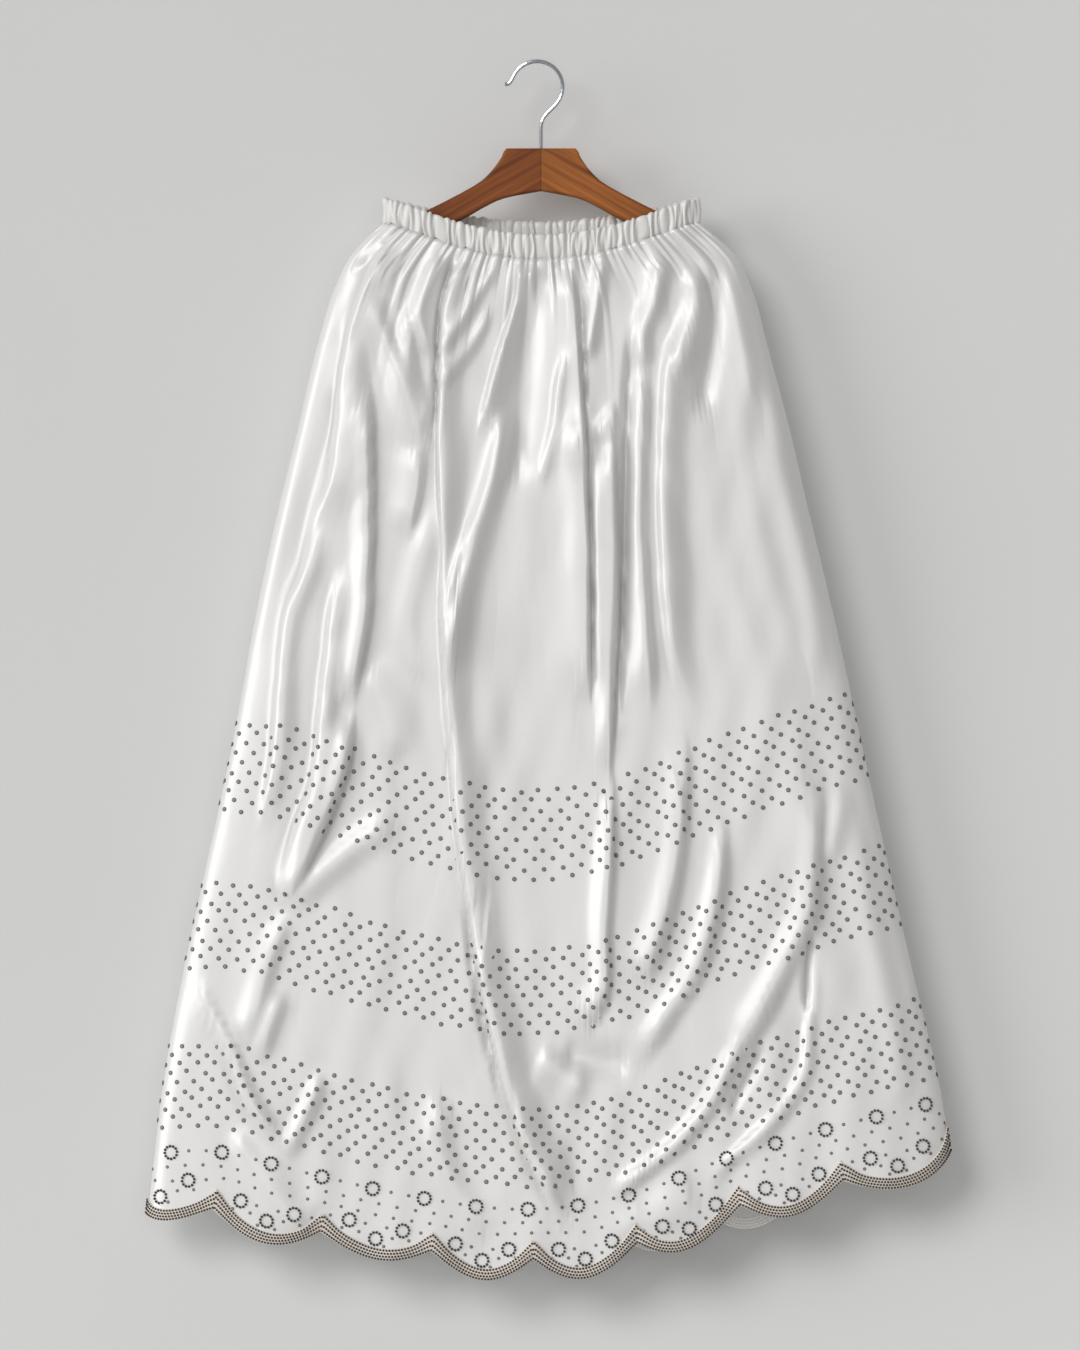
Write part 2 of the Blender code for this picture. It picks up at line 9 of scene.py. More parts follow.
import bpy
import numpy as np
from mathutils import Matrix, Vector


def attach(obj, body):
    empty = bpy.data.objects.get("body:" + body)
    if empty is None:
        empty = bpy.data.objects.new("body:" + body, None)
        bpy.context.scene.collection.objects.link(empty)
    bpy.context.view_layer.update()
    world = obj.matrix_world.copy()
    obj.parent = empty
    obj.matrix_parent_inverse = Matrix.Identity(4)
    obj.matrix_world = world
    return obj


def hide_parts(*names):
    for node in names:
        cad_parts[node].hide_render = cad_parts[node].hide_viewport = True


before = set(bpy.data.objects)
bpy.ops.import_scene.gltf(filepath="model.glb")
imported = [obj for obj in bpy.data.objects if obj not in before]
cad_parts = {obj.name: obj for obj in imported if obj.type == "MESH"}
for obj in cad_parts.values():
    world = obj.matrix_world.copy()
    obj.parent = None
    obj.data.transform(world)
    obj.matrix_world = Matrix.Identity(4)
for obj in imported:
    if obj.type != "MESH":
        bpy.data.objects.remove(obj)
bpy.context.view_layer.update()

bl_info = {
    "name": "Gathered satin skirt on a hanger",
    "version": (1, 0, 0),
    "blender": (4, 5, 0),
    "location": "3D View > Sidebar > Skirt",
    "description": "Builds the cloth, studs, beaded hem, hanger finish and studio for a gathered satin skirt",
    "category": "Object",
}

MM = 0.001
BODY = "root"
FRONT = -1
BACK = 1
SIDES = {FRONT: "front", BACK: "back"}

# Waist: a flattened ring of gathered casing, lower in the middle than at its sides
WAIST_HALF_WIDTH = 140.5
WAIST_HALF_DEPTH = 18.0
WAIST_SIDE_DROP = 122.6
WAIST_SAG = {FRONT: 33.0, BACK: 20.0}
WAIST_SAG_POWER = 1.3
CASING_HEIGHT = 20.7
SECTION_POWER = 2.7
SEAM_GAP = 0.3

# The casing's cut height on one face, and the waves in which its gathers lean: how far and how often
CASING_LEANS = ((1.4, 71.0), (0.8, 163.0))

# The casing's section, from its lower edge up the outside and down the inside: how far out from the waist's
# ring each point lies, and how far below the casing's upper edge
CASING_SECTION = (
    (-1.0, 21.0),
    (0.2, 21.6),
    (0.6, 20.6),
    (0.9, 19.0),
    (1.1, 16.5),
    (1.2, 13.5),
    (1.3, 10.5),
    (1.3, 7.5),
    (1.2, 4.5),
    (1.1, 2.5),
    (0.9, 1.0),
    (0.6, -0.3),
    (-0.4, -0.6),
    (-1.2, 0.4),
    (-1.6, 3.5),
    (-1.7, 8.0),
    (-1.7, 13.0),
    (-1.6, 18.0),
)

# Gathers: widths in shares of half the waist, how many shares that has, how far down the skirt each one runs,
# how high each one stands, how round they are, how far the casing's lower edge wavers, and how strongly the
# rise of its upper edge at each gather turns into a drop of its lower edge
GATHER_WIDTHS = (3, 2, 5, 3, 2, 4, 2, 3, 5, 2, 3, 3, 4, 2)
GATHER_SHARES = 138
GATHER_RUNS = (12, 30, 9, 56, 16, 22, 8, 74, 14, 10, 38)
GATHER_HEIGHTS = (3.2, 1.6, 4.2, 2.4, 1.2, 3.6, 2.0)
GATHER_ROUNDNESS = 0.75
EDGE_WAVER = 1.3
CASING_EDGE_TURN = 2.2

# Half of the skirt's depth, front to back, at fractions of its length
HALF_DEPTHS = ((0.0, 18.0), (0.04, 21.0), (0.12, 26.0), (0.4, 30.0), (0.75, 32.0), (1.0, 34.0))

# The two side seams seen from the front: drop, x of the left one, x of the right one
SIDE_SEAMS = (
    (142.8, -140.5, 140.5),
    (153.6, -153.0, 154.4),
    (170.7, -169.5, 173.4),
    (201.3, -185.4, 189.0),
    (253.5, -201.6, 203.4),
    (330.9, -219.6, 224.1),
    (393.0, -234.9, 238.5),
    (502.8, -258.3, 264.6),
    (593.7, -274.5, 284.4),
    (741.3, -306.0, 316.8),
    (816.0, -322.2, 334.0),
    (928.5, -342.0, 360.0),
    (980.7, -348.3, 368.1),
    (1035.6, -354.6, 374.0),
)

# The scalloped hems seen from the front: x and drop of each point between scallops, then the depth of the
# scallop on its right
HEM_EDGES = {
    FRONT: (
        (-354.6, 1035.6, 9.0),
        (-294.3, 1030.2, 21.6),
        (-198.0, 1050.0, 15.0),
        (-99.0, 1067.1, 20.0),
        (-7.2, 1074.3, 21.6),
        (86.4, 1059.9, 21.0),
        (179.1, 1026.6, 21.0),
        (271.8, 1004.1, 18.0),
        (368.1, 980.7, 0.0),
    ),
    BACK: (
        (-354.6, 1035.6, 9.0),
        (-294.3, 1021.2, 18.0),
        (-198.0, 1041.0, 18.0),
        (-104.4, 1055.4, 18.0),
        (-18.9, 1059.0, 18.0),
        (63.9, 1053.6, 21.6),
        (153.9, 1041.0, 23.0),
        (249.3, 1006.8, 12.0),
        (368.1, 980.7, 0.0),
    ),
}
MIDDLE_SAG = 24.0
EDGE_SLOPE = 0.35
SCALLOP_START = 0.93
TRIM_TOP = 0.984
PANEL_LENGTH = 905.0

# Folds: height, width of the left flank, width of the right flank, then the points that the crest runs
# through, as x and drop. A height below zero is a hollow.
FOLDS = {
    FRONT: {
        "shoulder_pouch": (3.0, 6, 8, ((-140, 157), (-158, 165), (-171, 175))),
        "shoulder_tuck": (-2.5, 5, 5, ((-152, 179), (-163, 184), (-172, 184))),
        "left_edge_ridge": (3.5, 5, 7, ((-173, 184), (-189, 229), (-212, 314), (-230, 402),
            (-251, 492), (-265, 544))),
        "upper_inner_ridge": (3.5, 7, 8, ((-136, 159), (-156, 194), (-169, 224), (-177, 249))),
        "left_long_ridge": (7.0, 5, 19, ((-122, 164), (-153, 196), (-170, 245), (-180, 303),
            (-186, 371), (-205, 420))),
        "left_long_hollow": (-4.0, 10, 7, ((-180, 285), (-194, 339), (-212, 402), (-231, 492))),
        "left_long_ridge_low": (7.0, 6, 12, ((-197, 393), (-210, 456), (-227, 496), (-234, 564),
            (-240, 636), (-251, 690))),
        "second_left_ridge": (6.0, 6, 10, ((-179, 447), (-187, 506), (-195, 582), (-203, 649),
            (-218, 690), (-236, 746))),
        "left_wide_ridge": (7.0, 15, 5, ((-159, 276), (-156, 339), (-155, 411), (-158, 492),
            (-166, 542), (-173, 584))),
        "left_wide_ridge_low": (7.0, 14, 5, ((-169, 573), (-178, 632), (-196, 681), (-218, 728),
            (-238, 751))),
        "left_curl": (4.5, 12, 8, ((-142, 204), (-146, 233), (-135, 263), (-123, 299), (-111, 328),
            (-94, 350))),
        "left_curl_upper_edge": (4.0, 9, 6, ((-124, 213), (-119, 249), (-117, 283), (-105, 308),
            (-94, 319))),
        "pocket_ridge": (4.5, 7, 7, ((-87, 163), (-100, 195), (-109, 224), (-105, 245), (-94, 265))),
        "lap_crease": (-6.0, 3.2, 2.6, ((-78, 168), (-85, 200), (-91, 227), (-93, 260), (-94, 303),
            (-93, 339))),
        "long_lap_ridge": (7.0, 3.2, 17, ((-66, 175), (-84, 204), (-89, 240), (-91, 316), (-89, 393),
            (-87, 483), (-85, 564))),
        "long_lap_ridge_middle": (7.5, 4, 20, ((-90, 447), (-86, 519), (-82, 591), (-76, 663),
            (-68, 726), (-57, 798))),
        "long_lap_ridge_low": (8.0, 4, 20, ((-66, 735), (-53, 821), (-39, 885), (-19, 956), (0, 1001),
            (22, 1046))),
        "long_lap_low_crease": (-4.0, 4, 3.5, ((-84, 560), (-80, 640), (-70, 735), (-59, 821),
            (-45, 885), (-26, 956))),
        "upper_streak": (2.6, 6, 5, ((-40, 178), (-60, 214), (-80, 244), (-90, 260))),
        "lower_streak": (3.0, 6, 5, ((-43, 218), (-60, 251), (-80, 276), (-90, 290))),
        "tapered_lap": (6.0, 2.6, 12, ((-22, 173), (-19, 193), (-25, 227), (-37, 263), (-48, 303),
            (-58, 337))),
        "join_ridge": (6.0, 8, 10, ((-31, 304), (-36, 338), (-45, 377), (-57, 417), (-68, 463),
            (-77, 515), (-82, 560))),
        "fine_join_streak": (2.2, 4, 4, ((-55, 404), (-73, 440), (-83, 488))),
        "centre_hollow": (-5.0, 16, 14, ((-13, 186), (-15, 249), (-19, 321), (-22, 393))),
        "middle_ridge": (6.0, 24, 3.6, ((24, 173), (29, 222), (32, 272), (36, 321), (40, 375))),
        "middle_ridge_low": (6.5, 20, 3.6, ((33, 303), (39, 366), (41, 447), (42, 519), (42, 586))),
        "deep_crease": (-4.2, 2.6, 3.0, ((32, 179), (38, 249), (40, 325), (43, 393), (45, 465),
            (45, 528), (45, 584))),
        "tapered_streak": (3.0, 4, 6, ((22, 258), (16, 290), (12, 325), (5, 355), (-4, 384))),
        "right_of_crease_ridge": (4.5, 7, 6, ((54, 168), (51, 205), (46, 240), (40, 269))),
        "right_of_crease_streak": (3.2, 7, 5, ((69, 314), (58, 326), (47, 341))),
        "crease_companion": (3.5, 4, 9, ((49, 339), (50, 411), (51, 483), (50, 564))),
        "pleat_ridge": (6.5, 13, 3.4, ((64, 312), (65, 393), (67, 483), (63, 573), (59, 654))),
        "pleat_ridge_low": (6.0, 14, 5, ((63, 627), (61, 717), (57, 780), (56, 834), (32, 870))),
        "pleat_hollow": (-5.0, 5, 6, ((81, 227), (79, 288), (76, 357), (74, 450), (71, 525), (66, 618))),
        "right_top_ridge": (4.5, 9, 7, ((109, 170), (103, 210), (91, 245), (94, 279))),
        "right_ridge": (5.0, 11, 6, ((93, 267), (90, 339), (90, 450), (94, 519), (98, 580))),
        "right_pair_ridge": (5.5, 6, 16, ((138, 213), (116, 271), (112, 322), (110, 384), (112, 456),
            (118, 519), (125, 586))),
        "right_top_wide": (4.0, 12, 9, ((134, 179), (140, 213), (132, 254), (122, 285))),
        "right_top_hollow": (-4.5, 9, 10, ((153, 181), (157, 227), (150, 279), (141, 321))),
        "right_shoulder_ridge": (4.5, 10, 10, ((167, 179), (176, 222), (185, 267), (193, 308))),
        "right_side_ridge": (4.0, 14, 9, ((204, 321), (224, 393), (238, 452), (249, 510), (248, 564))),
        "right_edge_ridge": (3.0, 9, 6, ((197, 240), (216, 330), (230, 393), (247, 456), (262, 519))),
        "inner_swag": (5.5, 14, 7, ((129, 600), (123, 695), (112, 758), (100, 798), (86, 827))),
        "middle_swag": (4.8, 11, 6, ((163, 663), (158, 744), (139, 814), (111, 859), (82, 902))),
        "outer_swag": (6.0, 16, 7, ((248, 627), (245, 695), (240, 764), (219, 810), (194, 859),
            (171, 897))),
        "outer_swag_low": (4.6, 8, 5, ((190, 863), (170, 899), (150, 938), (122, 971), (89, 998),
            (58, 1019))),
        "side_swag": (3.8, 5, 6, ((249, 807), (240, 863), (238, 899), (227, 924), (205, 953),
            (173, 981), (143, 1003))),
        "swag_crease": (-4.0, 3, 4, ((243, 780), (239, 816), (238, 859))),
        "low_swag_crease": (-3.2, 4, 4, ((202, 879), (182, 918), (167, 944))),
        "right_hem_ridge": (4.0, 15, 10, ((274, 645), (292, 735), (309, 816), (320, 870), (328, 951))),
        "right_fan": (3.5, 8, 9, ((274, 650), (266, 683), (258, 719))),
        "centre_swag": (3.5, 14, 10, ((-6, 890), (14, 904), (32, 913), (14, 940))),
        "centre_swag_hollow": (-3.5, 12, 12, ((17, 890), (50, 897), (84, 897))),
        "left_swag": (6.0, 5, 7, ((-321, 814), (-300, 852), (-278, 892), (-262, 933), (-233, 974))),
        "left_fan": (4.5, 12, 8, ((-226, 760), (-244, 804), (-256, 846), (-271, 883))),
        "left_inner_fan": (4.0, 10, 7, ((-231, 834), (-244, 865), (-253, 895))),
        "left_sweep": (4.5, 9, 10, ((-127, 679), (-170, 706), (-204, 735), (-233, 758))),
        "left_low_fan": (4.2, 8, 7, ((-194, 906), (-213, 947), (-229, 983))),
        "left_scoop": (3.5, 10, 12, ((-282, 958), (-258, 989), (-233, 1014), (-202, 1036))),
        "left_soft_patch": (3.0, 14, 16, ((-157, 539), (-140, 582), (-128, 629))),
        "upper_soft_patch": (3.0, 14, 12, ((-98, 400), (-115, 460), (-120, 510), (-105, 564))),
        "tapered_tip": (4.0, 16, 5, ((-109, 344), (-112, 386), (-122, 425))),
        "hem_drape": (4.0, 14, 16, ((-82, 924), (-93, 969), (-76, 1014), (-50, 1052))),
        "right_hem_drape": (2.4, 12, 14, ((143, 1001), (104, 1027), (64, 1048))),
    },
    BACK: {
        "outer_left_ridge": (6.0, 9, 18, ((-150, 176), (-180, 236), (-206, 340), (-226, 440), (-240, 560))),
        "outer_left_low": (5.5, 16, 8, ((-238, 540), (-262, 660), (-280, 780), (-300, 900))),
        "left_hollow": (-5.0, 8, 6, ((-122, 190), (-136, 280), (-150, 400), (-168, 540))),
        "left_ridge": (6.5, 6, 18, ((-98, 174), (-108, 260), (-118, 400), (-126, 560), (-134, 700))),
        "left_streak": (3.0, 5, 6, ((-118, 196), (-104, 240), (-98, 290))),
        "left_low_swag": (5.5, 12, 20, ((-152, 640), (-166, 740), (-160, 850), (-136, 930), (-104, 1000))),
        "inner_left_ridge": (5.0, 12, 6, ((-56, 178), (-56, 260), (-62, 380), (-72, 520))),
        "inner_left_streak": (3.0, 6, 5, ((-40, 210), (-52, 250), (-58, 300))),
        "centre_left_crease": (-6.0, 4, 5, ((-26, 178), (-30, 300), (-34, 440), (-38, 620))),
        "centre_ridge": (6.5, 20, 6, ((4, 174), (4, 300), (6, 460), (12, 640), (18, 780))),
        "centre_soft": (3.0, 16, 14, ((34, 300), (28, 420), (30, 540))),
        "centre_low_ridge": (7.0, 6, 22, ((-64, 600), (-58, 720), (-46, 840), (-30, 940), (-12, 1040))),
        "centre_right_crease": (-6.0, 4, 4, ((46, 178), (52, 260), (56, 380), (60, 560))),
        "inner_right_ridge": (6.0, 6, 16, ((70, 178), (78, 280), (86, 420), (94, 580), (104, 720))),
        "inner_right_streak": (3.0, 6, 5, ((104, 200), (96, 250), (88, 300))),
        "right_hollow": (-5.0, 7, 8, ((110, 190), (122, 290), (132, 420), (140, 560))),
        "right_ridge": (6.0, 14, 6, ((134, 174), (154, 250), (170, 360), (182, 480), (194, 600))),
        "outer_right_ridge": (5.0, 12, 9, ((160, 190), (196, 290), (220, 400), (240, 520), (256, 640))),
        "right_low_swag": (6.0, 16, 8, ((262, 640), (268, 740), (252, 830), (220, 900), (178, 970))),
        "inner_low_swag": (5.0, 14, 8, ((150, 690), (152, 780), (138, 870), (112, 950), (84, 1010))),
        "lower_crease": (-3.5, 4, 5, ((214, 820), (206, 880), (190, 940))),
        "edge_low_ridge": (4.0, 12, 9, ((298, 740), (310, 830), (320, 900), (328, 960))),
        "left_fan": (4.5, 9, 12, ((-210, 740), (-236, 800), (-262, 850), (-290, 900))),
        "left_inner_fan": (3.5, 8, 10, ((-176, 900), (-196, 950), (-220, 990))),
        "left_hem_drape": (4.0, 14, 14, ((-250, 940), (-226, 990), (-196, 1024))),
        "low_soft_ridge": (3.5, 16, 14, ((60, 860), (40, 930), (36, 1010))),
    },
}
FOLD_DEPTH = 1.5
FOLD_STEPS = 48
FOLD_FADE = 0.2
FOLD_TOP_FADE = 0.014

# Where the cloth's columns stand closer: middle, half width and extra density; and how valleys are found for
# the painted shade that darkens them
DENSE_COLUMNS = ((0.355, 0.05, 1.6), (0.60, 0.05, 1.8))
VALLEY_SPREAD = 14
VALLEY_DEPTH = 2.6

# Fine wrinkles that run down the cloth: how many waves, their lengths, their height and how far they lean
WRINKLE_WAVES = 22
WRINKLE_LENGTHS = (34.0, 130.0)
WRINKLE_HEIGHT = 0.34
WRINKLE_LEAN = 0.28
WRINKLE_SEED = 11

# Rows of round studs: first and last share of the skirt's length in each band
STUD_BANDS = ((0.506, 0.594), (0.668, 0.752), (0.832, 0.914))
STUD_ROWS = 10
STUD_PITCH = 16.8
STUD_STRAY = 0.0018
STUD_SEED = 5

# The hem's bead rings: an even row above the scallops, then one ring low in each scallop and one at each side
UPPER_RINGS = 16
UPPER_RING_LEVEL = 0.94
SCALLOP_WIDTH = 96.0
LOW_RING_SHARE = 0.977
SIDE_RING = (24.1, 12.8)
RING_BEADS = 12

# Small studs: two between the upper rings, two level rows below them, how clear they stay of the rings and
# of each other, and these beside each low ring, as distances to each side of it and above it
SMALL_STUD_GAPS = (0.36, 0.70)
SMALL_STUD_LEVELS = ((0.9546, 0.0), (0.9665, 0.35))
SMALL_STUD_PITCH = 16.6
RING_CLEARANCE = 9.0
STUD_CLEARANCE = 5.5
SCALLOP_STUDS = ((7.7, -5.8), (15.0, 3.8), (30.0, 3.9), (9.7, 13.3), (40.6, 13.2))

# Hem tape: width, rows of beads, the distance between beads along a row, and how much higher and how wide
# the tape's rise is at each cusp
TAPE_WIDTH = 10.3
TAPE_ROWS = 4
TAPE_PITCH = 2.9
CUSP_RISE = 5.0
CUSP_REACH = 11.0
TAPE_THICKNESS = 0.8
TAPE_LIFT = 0.9

# The tape's beads, and how far out they sit; the pale stitches on the wrong side: radius and height of each
# ring that shapes one, the height of its tip, and how far inside the cloth's face they sit
TAPE_BEAD_RADIUS = 1.08
TAPE_BEAD_LIFT = 1.25
STITCH_RINGS = ((1.1, 0.0), (0.95, 0.7))
STITCH_HEIGHT = 1.0
STITCH_DEPTH = 1.1

# Studio: the paper's wall and floor and the bend between them, in millimetres, then the camera's lens, and
# its place in metres
PAPER_BACK = 50.0
PAPER_TOP = 900.0
PAPER_BEND_START = -1050.0
PAPER_BEND = 380.0
PAPER_FRONT = -3200.0
PAPER_HALF_WIDTH = 3000.0
CAMERA_LENS = 250.0
CAMERA_PLACE = (-0.0009, -8.4375, -0.5505)

# Lights: how many degrees across each one is, and where it shines from, in metres; then the room's colour
LIGHTS = (
    ("key_light", 26.0, (-1.5, -2.8, 1.5)),
    ("side_light", 30.0, (-2.6, -1.4, 0.4)),
    ("fill_light", 40.0, (0.3, -3.6, 0.2)),
    ("rear_light", 60.0, (0.8, 3.0, 0.6)),
)
ROOM_COLOUR = (0.92, 0.92, 0.92, 1.0)


def smooth_step(value):
    """Ease from 0 to 1 as the value goes from 0 to 1."""
    value = np.clip(value, 0.0, 1.0)
    return value * value * (3.0 - 2.0 * value)


def curve_through(knots, values, at, end_slope=1.0):
    """A smooth curve through the values at the knots, flatter at its two ends where end_slope is small."""
    knots = np.asarray(knots, float)
    values = np.asarray(values, float)
    steps = np.diff(knots)
    secants = np.diff(values) / steps
    inner = (secants[:-1] * steps[1:] + secants[1:] * steps[:-1]) / (steps[:-1] + steps[1:])
    slopes = np.concatenate(([secants[0] * end_slope], inner, [secants[-1] * end_slope]))
    at = np.clip(at, knots[0], knots[-1])
    span = np.clip(np.searchsorted(knots, at, side="right") - 1, 0, len(steps) - 1)
    t = (at - knots[span]) / steps[span]
    rise = values[span] * (1 + 2 * t) * (1 - t) ** 2 + values[span + 1] * (3 - 2 * t) * t ** 2
    bend = slopes[span] * t * (1 - t) ** 2 - slopes[span + 1] * t ** 2 * (1 - t)
    return rise + bend * steps[span]


def section_depth(across):
    """Depth of the flattened ring at a place across it from -1 to 1, as a share of its half depth."""
    return np.maximum(1.0 - np.abs(across) ** SECTION_POWER, 0.0) ** (1.0 / SECTION_POWER)


def waist_across(u):
    """Place across the waist, from -1 to 1, of a share u of the cloth, spread evenly along the ring."""
    across = -np.cos(np.linspace(0.0, math.pi, 721))
    run_x = np.diff(across) * WAIST_HALF_WIDTH
    run_y = np.diff(section_depth(across)) * WAIST_HALF_DEPTH
    length = np.concatenate(([0.0], np.cumsum(np.hypot(run_x, run_y))))
    return np.interp(u, length / length[-1], across)


def casing_top_drop(side, across):
    """Drop of the casing's upper edge, which sags between the hanger's arms."""
    sag = np.maximum(1.0 - across ** 2, 0.0) ** WAIST_SAG_POWER
    return WAIST_SIDE_DROP + WAIST_SAG[side] * sag


def scallop_drop(side, u):
    """How far the scallops hang below the line between their ends."""
    depths = np.array([row[2] for row in HEM_EDGES[side]])
    place = np.clip(u, 0.0, 1.0) * (len(depths) - 1)
    scallop = np.minimum(place.astype(int), len(depths) - 2)
    return depths[scallop] * np.sin(math.pi * (place - scallop))


def scallop_share(s):
    """How much of the scallops' depth shows at a share s of the skirt's length."""
    return smooth_step((s - SCALLOP_START) / (TRIM_TOP - SCALLOP_START))


def fold_height(folds, x, drop):
    """Sum of the ridges and hollows at points given by x and drop."""
    height = np.zeros_like(x)
    t = np.linspace(0.0, 1.0, FOLD_STEPS)
    ends = smooth_step(t / FOLD_FADE) * smooth_step((1.0 - t) / FOLD_FADE)
    for tall, left, right, path in folds.values():
        knots = np.arange(len(path)) / (len(path) - 1)
        line_x, line_drop = (curve_through(knots, values, t) for values in zip(*path))
        reach = 3.0 * max(left, right)
        near = (x > line_x.min() - reach) & (x < line_x.max() + reach)
        near &= (drop > line_drop.min() - reach) & (drop < line_drop.max() + reach)
        away_x = x[near][:, None] - line_x
        away_drop = drop[near][:, None] - line_drop
        nearest = np.argmin(away_x ** 2 + away_drop ** 2, axis=1)[:, None]
        away_x = np.take_along_axis(away_x, nearest, axis=1)[:, 0]
        away_drop = np.take_along_axis(away_drop, nearest, axis=1)[:, 0]
        distance = np.hypot(away_x, away_drop)
        flank = smooth_step(0.5 + away_x / (2.0 * min(left, right)))
        width = left + (right - left) * flank
        height[near] += FOLD_DEPTH * tall * ends[nearest[:, 0]] * np.exp(-(distance / width) ** 2)
    return height


def gather_edges():
    """Shares of the waist at which one gather ends and the next begins."""
    edges = [0]
    while edges[-1] < GATHER_SHARES:
        edges.append(min(edges[-1] + GATHER_WIDTHS[(len(edges) - 1) % len(GATHER_WIDTHS)], GATHER_SHARES))
    return np.array(edges) / GATHER_SHARES


def gathers(u):
    """Roundness from 0 to 1, height and run down the cloth of the gather at each share u of the waist."""
    edges = gather_edges()
    gather = np.clip(np.searchsorted(edges, u, side="right") - 1, 0, len(edges) - 2)
    t = np.clip((u - edges[gather]) / (edges[gather + 1] - edges[gather]), 0.0, 1.0)
    heights = np.array(GATHER_HEIGHTS)[gather % len(GATHER_HEIGHTS)]
    runs = np.array(GATHER_RUNS)[gather % len(GATHER_RUNS)]
    return np.sin(math.pi * t) ** GATHER_ROUNDNESS, heights, runs


def gather_height(u, below):
    """Height of the gathers at a share u across and a depth below the casing."""
    lobe, heights, runs = gathers(u)
    return heights * lobe * np.exp(-(below / runs) ** 1.5)


def wrinkle_height(x, drop):
    """Fine long wrinkles, uneven in length and spacing."""
    random = np.random.default_rng(WRINKLE_SEED)
    height = np.zeros_like(x)
    for _ in range(WRINKLE_WAVES):
        length = math.exp(random.uniform(*np.log(WRINKLE_LENGTHS)))
        lean = random.uniform(-WRINKLE_LEAN, WRINKLE_LEAN)
        phase, patch = random.uniform(0.0, 2.0 * math.pi, 2)
        wave = np.sin((x + lean * drop) * 2.0 * math.pi / length + phase)
        here = np.sin(drop * 2.0 * math.pi / (9.0 * length) + x / (4.0 * length) + patch)
        height += wave * np.maximum(here, 0.0) * WRINKLE_HEIGHT * math.sqrt(length / WRINKLE_LENGTHS[0])
    return height


def panel_length(side, u):
    """Drop from the casing to the line between the scallops' ends."""
    hem = np.array(HEM_EDGES[side])
    top = casing_top_drop(side, waist_across(u)) + CASING_HEIGHT
    return curve_through(np.linspace(0.0, 1.0, len(hem)), hem[:, 1], u) - top


def skirt_surface(side, u, s):
    """Points of one panel's cloth, in millimetres, at shares u across from the left seam and s down."""
    hem = np.array(HEM_EDGES[side])
    cusps = np.linspace(0.0, 1.0, len(hem))
    hem_x = curve_through(cusps, hem[:, 0], u, EDGE_SLOPE)
    hem_across = 2.0 * (hem_x - hem[0, 0]) / (hem[-1, 0] - hem[0, 0]) - 1.0
    across = waist_across(u) + (hem_across - waist_across(u)) * s
    top = casing_top_drop(side, waist_across(u)) + CASING_HEIGHT
    middle = np.maximum(1.0 - across ** 2, 0.0) ** 2
    sag = MIDDLE_SAG * middle * np.sin(math.pi * np.clip(s, 0.0, 1.0)) ** 0.6
    drop = top + panel_length(side, u) * s + sag
    seams = np.array(SIDE_SEAMS)
    side_top = WAIST_SIDE_DROP + CASING_HEIGHT
    left = curve_through(seams[:, 0], seams[:, 1], side_top + (hem[0, 1] - side_top) * s)
    right = curve_through(seams[:, 0], seams[:, 2], side_top + (hem[-1, 1] - side_top) * s)
    x = left + (right - left) * (across + 1.0) / 2.0
    shares, depths = np.array(HALF_DEPTHS).T
    depth = curve_through(shares, depths, s) * section_depth(across)
    below = drop - top
    clear_of_seams = 1.0 - np.abs(across) ** 8
    relief = fold_height(FOLDS[side], x, drop) + wrinkle_height(x, drop)
    depth = depth + relief * clear_of_seams * smooth_step(s / FOLD_TOP_FADE)
    depth = depth + gather_height(u, below)
    drop = drop + scallop_drop(side, u) * scallop_share(s)
    return np.stack([x, side * (depth + SEAM_GAP / 2), -drop], axis=-1)


def level_share(side, u, level):
    """Share of the length that keeps a line level across the scallops."""
    s = level + np.zeros_like(u)
    for _ in range(4):
        s = level - scallop_share(s) * scallop_drop(side, u) / PANEL_LENGTH
    return s


def row_run(side, s):
    """Shares across one panel, and how far along a row of the cloth each lies, in millimetres."""
    fine = np.linspace(0.0, 1.0, 601)
    row = skirt_surface(side, fine, np.full_like(fine, s))
    return fine, np.concatenate(([0.0], np.cumsum(np.linalg.norm(np.diff(row, axis=0), axis=-1))))


def even_shares(side, s, count, shift=0.5):
    """Shares across one panel of places spaced evenly along a row of the cloth."""
    fine, run = row_run(side, s)
    places = (np.arange(count) + shift) / count
    return np.interp(places * run[-1], run, fine)


def row_count(side, s, pitch):
    """How many pieces a pitch apart fit along a row of the cloth."""
    return round(row_run(side, s)[1][-1] / pitch)


def scallop_places(side, offsets):
    """Shares across and down of places around the low point of every scallop, where the panel has them."""
    hem_x = np.array(HEM_EDGES[side])[:, 0]
    centres = (hem_x[1:] + hem_x[:-1]) / 2
    centres[0] = hem_x[1] - SCALLOP_WIDTH / 2
    fine = np.linspace(0.0, 1.0, 801)
    row_x = skirt_surface(side, fine, np.full_like(fine, LOW_RING_SHARE))[:, 0]
    centre_u = np.interp(centres, row_x, fine)
    level = LOW_RING_SHARE + scallop_share(LOW_RING_SHARE) * scallop_drop(side, centre_u) / PANEL_LENGTH
    away, rise = np.array(offsets).T
    x = (centres[:, None] + away).ravel()
    levels = (level[:, None] - rise / PANEL_LENGTH).ravel()
    inside = (x > hem_x[0] + 3.0) & (x < hem_x[-1] - 3.0)
    u = np.interp(x[inside], row_x, fine)
    return u, level_share(side, u, levels[inside])


def ring_centres(side):
    """Shares across and down of the middles of the bead rings."""
    upper = even_shares(side, UPPER_RING_LEVEL, UPPER_RINGS)
    low_u, low_s = scallop_places(side, ((0.0, 0.0), SIDE_RING, (-SIDE_RING[0], SIDE_RING[1])))
    return np.concatenate([upper, low_u]), np.concatenate([level_share(side, upper, UPPER_RING_LEVEL), low_s])


